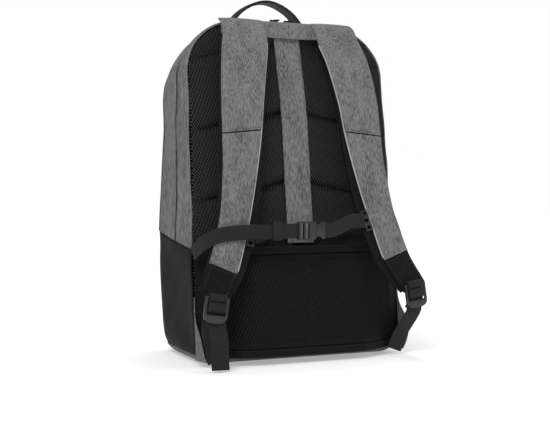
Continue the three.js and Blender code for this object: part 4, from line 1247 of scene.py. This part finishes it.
def strap_at(z, side):
    """A strap's middle on its face, its directions and its sizes at heights z."""
    z = np.asarray(z, float)

    def middle(height):
        up = height / BAG_HEIGHT
        out = side * HALF_WIDTH * look(STRAP_ROWS, up, "out")
        return stack(out, back_at(height) - STRAP_STANDOFF * look(STRAP_ROWS, up, "off"), height)

    along = unit(middle(z - 1) - middle(z + 1))
    across = np.broadcast_to(np.array([side, 0, 0], float), along.shape)
    across = unit(across - along * np.sum(across * along, axis=-1, keepdims=True))
    face = np.cross(along, across)
    face = np.where(face[..., 1:2] > 0, -face, face)
    up = z / BAG_HEIGHT
    return {
        "middle": middle(z),
        "along": along,
        "across": across + along * look(STRAP_ROWS, up, "skew")[..., None],
        "face": face,
        "half": STRAP_WIDTH / 2 * look(STRAP_ROWS, up, "half"),
        "margin": np.maximum(0, PAD_MARGIN * look(STRAP_ROWS, up, "margin")),
        "thickness": PAD_THICKNESS * look(STRAP_ROWS, up, "thick"),
    }


def strap_point(strap, reach, height):
    return (
        strap["middle"]
        + strap["across"] * np.asarray(reach)[..., None]
        + strap["face"] * np.asarray(height)[..., None]
    )


class BACKPACK_OT_straps(Operator):
    """Makes the shoulder straps: pads, covers, tips and bindings"""

    bl_idname = "backpack.straps"
    bl_label = "Shoulder straps"

    def execute(self, context):
        for side, name in SIDES:
            tip = TIP_SEAM_HEIGHTS[name]
            self.pad(side, name)
            upper = (STRAP_TOP, CROSS_SEAM_HEIGHT + 1)
            self.cover(side, f"strap_upper_{name}", *upper, COVER_STEP, "heather", "heather_cloth")
            lower = (CROSS_SEAM_HEIGHT - 0.9, tip)
            self.cover(side, f"strap_lower_{name}", *lower, 0, "heather", "heather_cloth")
            end = (tip - 0.3, STRAP_FOOT - 3)
            self.cover(side, f"strap_tip_{name}", *end, -0.4, "black", "black_cloth")
            self.patch(side, tip)
            self.binding(side, name, tip)
            self.seams(side, tip)
        return {"FINISHED"}

    def layer(self, side, heights, outward, inward, front, back, power, crown, ripple=0.0):
        """Rings round one layer of the strap, from its top down."""
        strap = strap_at(heights, side)
        u = np.sin(np.linspace(-np.pi / 2, np.pi / 2, 25))
        rim = (1 - np.abs(u) ** power) ** (1 / power)
        half = np.where(u[None, :] < 0, inward(strap)[:, None], outward(strap)[:, None])
        reach = u[None, :] * half
        waves = np.sin(heights / 11 + 1)[:, None] * np.cos(2.2 * u)[None, :]
        lift = crown * (1 - u**2)[None, :] + ripple * waves
        top, low = front(strap), back(strap)
        centre, thick = (top + low) / 2, (top - low) / 2
        rings = []
        for sign in (1, -1):
            height = centre[:, None] + sign * thick[:, None] * rim[None, :] + (lift if sign > 0 else 0)
            wide = {key: value[:, None] for key, value in strap.items()}
            rings.append(strap_point(wide, reach, height))
        return np.concatenate([rings[0], rings[1][:, -2:0:-1]], axis=1)

    def pad(self, side, name):
        heights = np.linspace(YOKE_FOOT - 0.5, STRAP_FOOT, 120)
        top = -COVER_THICKNESS - SEAM_GAP
        rings = self.layer(
            side, heights,
            lambda strap: strap["half"] + PAD_OUTER_MARGIN,
            lambda strap: strap["half"] + strap["margin"],
            lambda strap: top + 0 * strap["half"],
            lambda strap: top - strap["thickness"],
            4, 0.0,
        )
        piece = loft(f"strap_pad_{name}_foam", rings, MATERIALS["black"])
        place_piece(piece, "black_cloth", f"strap_pad_{name}")

    def cover(self, side, node, high, low, lift, material, slot):
        heights = np.linspace(high, low, max(24, int((high - low) / RING_STEP)))
        rings = self.layer(
            side, heights,
            lambda strap: strap["half"],
            lambda strap: strap["half"],
            lambda strap: lift + 0 * strap["half"],
            lambda strap: -COVER_THICKNESS + 0 * strap["half"],
            6, COVER_CROWN, 0.35,
        )
        piece = loft(node + "_cloth", rings, MATERIALS[material])
        place_piece(piece, slot, node)
        strap = strap_at(heights, side)
        colour = "grey" if material == "heather" else "black"
        for edge in (-1, 1):
            level = lift + COVER_CROWN * 0.2 + 0 * strap["half"]
            line = strap_point(strap, edge * (strap["half"] - 3), level)
            stitch(colour, line[2:-2], strap["face"][2:-2], 0.3)

    def binding(self, side, name, tip):
        """The light tape round the cover's inner edge."""
        heights = np.linspace(YOKE_FOOT - 4, tip + 3, 120)
        strap = strap_at(heights, side)
        line = strap_point(strap, -(strap["half"] - 0.1), -0.5 * COVER_THICKNESS + 0 * strap["half"])
        piece = tube(f"strap_binding_{name}", line, BINDING_RADIUS, MATERIALS["binding"])
        place_piece(piece, "heather_cloth")

    def patch(self, side, tip):
        """The sewn patch on the tip, over the webbing's end."""
        low = STRAP_FOOT + 2
        outline = ((-0.75, tip - 26), (0.8, tip - 12), (0.8, low), (-0.75, low), (-0.75, tip - 26))
        points = []
        for (reach, z), (other, end) in zip(outline, outline[1:]):
            points += [(mix(reach, other, t), mix(z, end, t)) for t in np.linspace(0, 1, 12)[:-1]]
        points.append(outline[0])
        reach, z = np.array(points).T
        strap = strap_at(z, side)
        line = strap_point(strap, reach * strap["half"], 0.35 + 0.3 * (1 - reach**2))
        stitch("black", line, strap["face"], 0.4)

    def seams(self, side, tip):
        """Cross stitching above the cross seam and on the tip."""
        for height, shift in ((CROSS_SEAM_HEIGHT, 3.5), (tip, -3.5)):
            strap = strap_at(np.full(24, float(height + shift)), side)
            reach = np.linspace(-0.9, 0.9, 24) * strap["half"]
            lift = (COVER_STEP if shift > 0 else -0.2) + 0.7 * (1 - np.linspace(-0.9, 0.9, 24) ** 2)
            stitch("black", strap_point(strap, reach, lift), strap["face"], 0.35)


# Webbing


def lock_frame(side, name):
    """A ladder lock's place: its origin is the middle of its top edge, up runs against the pull."""
    height = LOCK_HEIGHTS[name]
    up = unit(np.array([-side * LOCK_TILT, 0, 1], float))
    across = np.array([up[2], 0, -up[0]])
    y = strap_at(np.array([float(height)]), side)["middle"][0, 1] - LOCK_CLEARANCE
    origin = np.array([side * LOCK_SPREAD, y, height])
    return origin, across, up, np.cross(across, up)


def in_frame(place, up, face, across=0.0):
    origin, side, rise, out = place
    return origin + rise * up + out * face + side * across


FIRST_SLOT = -LOCK_BAR
MIDDLE_BAR = FIRST_SLOT - LOCK_SLOT
SECOND_SLOT = MIDDLE_BAR - LOCK_BAR
TAB_TOP = SECOND_SLOT - LOCK_SLOT
LOCK_FOOT = TAB_TOP - LOCK_TAB


def threading(gap):
    """Where webbing passes round a ladder's middle bar, from behind it to the tail, as [up, face]."""
    front = LOCK_THICKNESS / 2 + gap
    return (
        (TAB_TOP, -front - 4.2),
        (SECOND_SLOT - 0.4 * LOCK_SLOT, -front - 2.8),
        (MIDDLE_BAR + 0.05 * LOCK_SLOT, -front - 1.2),
        (MIDDLE_BAR + 0.42 * LOCK_SLOT, -0.4 * front),
        (MIDDLE_BAR + 0.46 * LOCK_SLOT, 0.7 * front),
        (MIDDLE_BAR + 0.1 * LOCK_SLOT, front),
        (MIDDLE_BAR - LOCK_BAR - 0.12 * LOCK_SLOT, front),
        (SECOND_SLOT - 0.48 * LOCK_SLOT, 0.4 * front),
        (SECOND_SLOT - 0.62 * LOCK_SLOT, -0.6 * front),
        (TAB_TOP - 0.1 * LOCK_SLOT, -front),
    )


def run_out(z):
    return ANCHOR_SPREAD + WEBBING_WIDTH * look(LOWER_RUN, z / ANCHOR_HEIGHT, "out")


def run_off(z):
    return STRAP_STANDOFF * look(LOWER_RUN, z / ANCHOR_HEIGHT, "off")


class BACKPACK_OT_webbing(Operator):
    """Makes the lower webbing, lock loops, locks and anchor tabs"""

    bl_idname = "backpack.webbing"
    bl_label = "Webbing and locks"

    def execute(self, context):
        for side, name in SIDES:
            self.lower(side, name)
            self.loop(side, name)
            self.tab(side, name)
            refined(f"ladder_lock_{name}", MATERIALS["plastic"], "moulded_plastic", MOULDING_EDGE)
        return {"FINISHED"}

    def lower(self, side, name):
        place = lock_frame(side, name)
        points = []
        for row in LOWER_RUN[:3]:
            z = row["up"] * ANCHOR_HEIGHT
            points.append((side * float(run_out(z)), float(back_at(z) - run_off(z)), z))
        points.append(in_frame(place, LOCK_FOOT - 4, -11))
        threads = threading(BAR_GAP + WEBBING_THICKNESS / 2)
        points += [in_frame(place, up, face) for up, face in threads]
        for row in TAILS[name]:
            points.append(in_frame(place, LOCK_FOOT + row["up"], row["face"], row["across"]))
        count = 190
        path = spline(points, count)
        step = np.linspace(0, len(points) - 1, count)
        first, last = 4, 3 + len(threads)
        held = smooth((step - first + 2) / 2) * smooth((last + 2 - step) / 2)
        across = mix(np.array([1.0, 0, 0])[None, :], place[1][None, :], held[:, None])
        bar = (WEBBING_WIDTH, WEBBING_THICKNESS)
        piece = ribbon(f"lower_webbing_{name}_weave", path, across, *bar, MATERIALS["webbing"])
        place_piece(piece, "webbing", f"lower_webbing_{name}")

    def loop(self, side, name):
        place = lock_frame(side, name)
        turns = np.linspace(0, 2 * np.pi, 41)
        swing = LOCK_THICKNESS / 2 + BAR_GAP + WEBBING_THICKNESS / 2
        middle = -LOCK_BAR / 2 + 0.3
        points = [in_frame(place, middle + LOOP_REACH * math.cos(t), swing * math.sin(t)) for t in turns]
        path = np.array(points)
        bar = (WEBBING_WIDTH, WEBBING_THICKNESS)
        piece = ribbon(f"lock_loop_{name}_weave", path, place[1], *bar, MATERIALS["webbing"])
        place_piece(piece, "webbing", f"lock_loop_{name}")

    def tab(self, side, name):
        """The grey corner tab, from the back seam out to the webbing's edge."""
        low, high = (corner[2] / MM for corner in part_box(f"anchor_tab_{name}"))
        z = np.linspace(high, low, 40)[:, None]
        v = np.linspace(0, 1, 40)[:, None]
        u = np.linspace(0, 1, 14)[None, :]
        row = section(np.zeros_like(z))
        held_x, held_y = half_at(row, z) - 1, back_at(z) - 1 - 2 * SEAM_GAP
        reach = smooth(v * 1.3)
        free_x = mix(held_x, run_out(z) + WEBBING_WIDTH / 2 + 1 + 4 * SEAM_GAP, reach)
        free_y = mix(held_y - 1, back_at(z) - run_off(z), reach * smooth(v * 1.1))
        x, y = mix(held_x, free_x, u), mix(held_y, free_y, u)
        rings = closed_rings(stack(side * (x + 0.8), y, z), stack(side * (x - 0.8), y, z))
        piece = loft(f"anchor_tab_{name}_cloth", rings, MATERIALS["heather"])
        place_piece(piece, "heather_cloth", f"anchor_tab_{name}")


def sternum_at(x, off, height):
    return (x, -STERNUM_REACH + off, STERNUM_HEIGHT + height)


class BACKPACK_OT_sternum(Operator):
    """Makes the sternum strap, its buckle, keeper and slide clips"""

    bl_idname = "backpack.sternum"
    bl_label = "Sternum strap"

    def execute(self, context):
        layer = WEBBING_THICKNESS + SEAM_GAP
        strap = strap_at(np.array([float(STERNUM_HEIGHT)]), -1)["middle"][0]
        tail = [
            sternum_at(SOCKET_START - 0.6, 0, 0),
            sternum_at(KEEPER_PLACE + KEEPER_WIDTH / 2, 0, 0),
            sternum_at(KEEPER_PLACE - 0.8 * KEEPER_WIDTH, 0.2, -0.4),
        ]
        for row in STERNUM_TAIL:
            fall = row["fall"] * STERNUM_WIDTH
            tail.append(strap - np.array([row["out"] * STRAP_WIDTH, row["ahead"] * STRAP_WIDTH, fall]))
        right = (
            *self.clip_seat("right"),
            *(
                sternum_at(row["out"] * CLIP_EDGE, row["off"] * STERNUM_WIDTH, row["rise"] * CLIP_RISE)
                for row in STERNUM_RIGHT
            ),
            sternum_at(PLUG_END + 0.6, 0, 0),
        )
        left = (
            *self.clip_seat("left"),
            sternum_at(KEEPER_PLACE - 0.9 * KEEPER_WIDTH, layer + 5.5, 0),
            sternum_at(KEEPER_PLACE - 0.55 * KEEPER_WIDTH, layer + 1, 0),
            sternum_at(KEEPER_PLACE, layer + 0.2, 0),
            sternum_at(SOCKET_START - 0.6, layer, 0),
        )
        bar = (STERNUM_WIDTH, WEBBING_THICKNESS)
        runs = (("tail", tail, 90), ("webbing_right", right, 60), ("webbing_left", left, 50))
        for name, points, count in runs:
            path = spline(points, count)
            piece = ribbon(f"sternum_{name}_weave", path, (0, 0, 1), *bar, MATERIALS["webbing"])
            place_piece(piece, "webbing", f"sternum_{name}")
        self.keeper(layer)
        for node in ("sternum_socket", "sternum_plug", "slide_clip_left", "slide_clip_right"):
            refined(node, MATERIALS["plastic"], "moulded_plastic", MOULDING_EDGE)
        return {"FINISHED"}

    def clip_seat(self, name):
        """Where the webbing lies on its slide clip, from the clip's own box."""
        low, high = (np.array(corner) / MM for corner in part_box(f"slide_clip_{name}"))
        middle = (low + high) / 2
        side = -1 if name == "left" else 1
        return [middle + np.array([-side * reach, -CLIP_SEAT, 0]) for reach in CLIP_REACHES]

    def keeper(self, layer):
        high = STERNUM_WIDTH / 2 + KEEPER_CLEARANCE
        deep = (layer + WEBBING_THICKNESS) / 2 + KEEPER_CLEARANCE + 0.3
        turns = np.linspace(0, 2 * np.pi, 65)
        c, s = np.cos(turns), np.sin(turns)
        y = deep * np.sign(c) * np.abs(c) ** 0.35
        z = high * np.sign(s) * np.abs(s) ** 0.35
        path = stack(KEEPER_PLACE, -STERNUM_REACH + layer / 2 + 0.4 + y, STERNUM_HEIGHT + z)
        bar = (KEEPER_WIDTH, KEEPER_THICKNESS)
        piece = ribbon("webbing_keeper_weave", path, (1, 0, 0), *bar, MATERIALS["webbing"])
        place_piece(piece, "webbing", "webbing_keeper")


class BACKPACK_OT_handle(Operator):
    """Makes the top handle"""

    bl_idname = "backpack.handle"
    bl_label = "Top handle"

    def execute(self, context):
        low, high = (np.array(corner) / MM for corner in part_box("top_handle"))
        top = high[2] - HANDLE_THICKNESS / 2 - HANDLE_RISE
        seat = low[2] + HANDLE_THICKNESS / 2
        points = []
        for row in HANDLE_ROWS:
            height = self.height(row["rise"], seat, top)
            points.append((-row["out"] * HANDLE_SPAN / 2, HANDLE_PLACE, height))
        points += [(-x, y, z) for x, y, z in points[-2::-1]]
        piece = ribbon(
            "top_handle_weave", spline(points, 120), (0, 1, 0), HANDLE_WIDTH, HANDLE_THICKNESS,
            MATERIALS["webbing"], 0.5,
        )
        place_piece(piece, "webbing", "top_handle")
        return {"FINISHED"}

    def height(self, rise, seat, top):
        return mix(seat, top, min(1, rise * 3)) + rise * HANDLE_RISE


class BACKPACK_OT_stitches(Operator):
    """Sews the kept lines"""

    bl_idname = "backpack.stitches"
    bl_label = "Stitches"

    def execute(self, context):
        sizes = context.scene.backpack_sizes
        threads = (("black", "thread", "black_cloth"), ("grey", "grey_thread", "heather_cloth"))
        for colour, material, slot in threads:
            repeated(
                f"stitches_{colour}", STITCH_LINES[colour], MATERIALS[material], slot,
                sizes.stitch_length, *THREAD, sizes.stitch_pitch,
            )
        return {"FINISHED"}


class BACKPACK_OT_stage(Operator):
    """Sets the camera, the soft light and the pale floor"""

    bl_idname = "backpack.stage"
    bl_label = "Stage"

    def execute(self, context):
        scene = context.scene
        self.camera(scene)
        self.floor()
        self.lights(scene)
        return {"FINISHED"}

    def camera(self, scene):
        scene.view_settings.view_transform = "Standard"
        scene.view_settings.look = "None"
        data = bpy.data.cameras.new("camera")
        data.lens = scene.backpack_sizes.lens
        data.sensor_width = 36
        data.clip_end = 50
        camera = bpy.data.objects.new("camera", data)
        scene.collection.objects.link(camera)
        camera.location = CAMERA_PLACE
        camera.rotation_euler = (math.radians(CAMERA_TILT), 0, math.radians(CAMERA_TURN))
        scene.camera = camera

    def floor(self):
        turns = ((-1, -1), (1, -1), (1, 1), (-1, 1))
        mesh = make_mesh("floor", [(x * FLOOR_REACH, y * FLOOR_REACH, 0) for x, y in turns], [(0, 1, 2, 3)])
        floor = link(mesh, "floor")
        low, high = FLOOR_GLOW
        white = Weaver(
            "pale_floor", Base_Color=(0.8, 0.8, 0.8, 1), Roughness=0.9, Emission_Color=(1, 1, 1, 1),
            Emission_Strength=low,
        )
        distance = white.node("VectorMath", {0: white.position()}, operation="LENGTH").node.outputs["Value"]
        glow = white.node(
            "MapRange", {"Value": distance, "From Min": 0.5, "From Max": 3.0, "To Min": low, "To Max": high},
        )
        white.tree.links.new(glow, white.shader.inputs["Emission Strength"])
        mesh.materials.append(white.material)

    def lights(self, scene):
        world = bpy.data.worlds.new("studio")
        world.use_nodes = True
        tree = world.node_tree
        background = tree.nodes["Background"]
        background.inputs["Color"].default_value = (1, 1, 1, 1)
        ray = add_node(tree, "ShaderNodeLightPath")
        levels = {"Value": ray["Is Camera Ray"], "To Min": WORLD_LIGHT, "To Max": 1.0}
        level = add_node(tree, "ShaderNodeMapRange", levels)
        tree.links.new(level["Result"], background.inputs["Strength"])
        scene.world = world
        for name, location, size, energy in LAMPS:
            light = bpy.data.lights.new(name, "AREA")
            light.energy = energy
            light.size = size
            lamp = bpy.data.objects.new(name, light)
            scene.collection.objects.link(lamp)
            lamp.location = location
            aim = np.array(LAMP_AIM) - np.array(location)
            lamp.rotation_euler = (
                math.atan2(math.hypot(aim[0], aim[1]), -aim[2]), 0, math.atan2(-aim[0], aim[1]),
            )


class BACKPACK_PT_pieces(Panel):
    """Lists the pieces and their sizes"""

    bl_idname = "BACKPACK_PT_pieces"
    bl_label = "Laptop Backpack"
    bl_space_type = "VIEW_3D"
    bl_region_type = "UI"
    bl_category = "Backpack"

    def draw(self, context):
        layout = self.layout
        for group in (context.scene.backpack_sizes, context.scene.backpack_colours):
            for name in group.__annotations__:
                layout.prop(group, name)
        for operator in OPERATORS:
            layout.operator(operator.bl_idname)


OPERATORS = (
    BACKPACK_OT_stage,
    BACKPACK_OT_bag,
    BACKPACK_OT_zippers,
    BACKPACK_OT_back,
    BACKPACK_OT_sleeve,
    BACKPACK_OT_straps,
    BACKPACK_OT_webbing,
    BACKPACK_OT_sternum,
    BACKPACK_OT_handle,
    BACKPACK_OT_stitches,
)
CLASSES = (BackpackSizes, BackpackColours, *OPERATORS, BACKPACK_PT_pieces)


def register():
    for cls in CLASSES:
        bpy.utils.register_class(cls)
    bpy.types.Scene.backpack_sizes = PointerProperty(type=BackpackSizes)
    bpy.types.Scene.backpack_colours = PointerProperty(type=BackpackColours)


def unregister():
    del bpy.types.Scene.backpack_colours
    del bpy.types.Scene.backpack_sizes
    for cls in reversed(CLASSES):
        bpy.utils.unregister_class(cls)


def main():
    register()
    make_materials()
    for operator in OPERATORS:
        group, name = operator.bl_idname.split(".")
        getattr(getattr(bpy.ops, group), name)()
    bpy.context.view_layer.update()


if __name__ == "__main__":
    main()
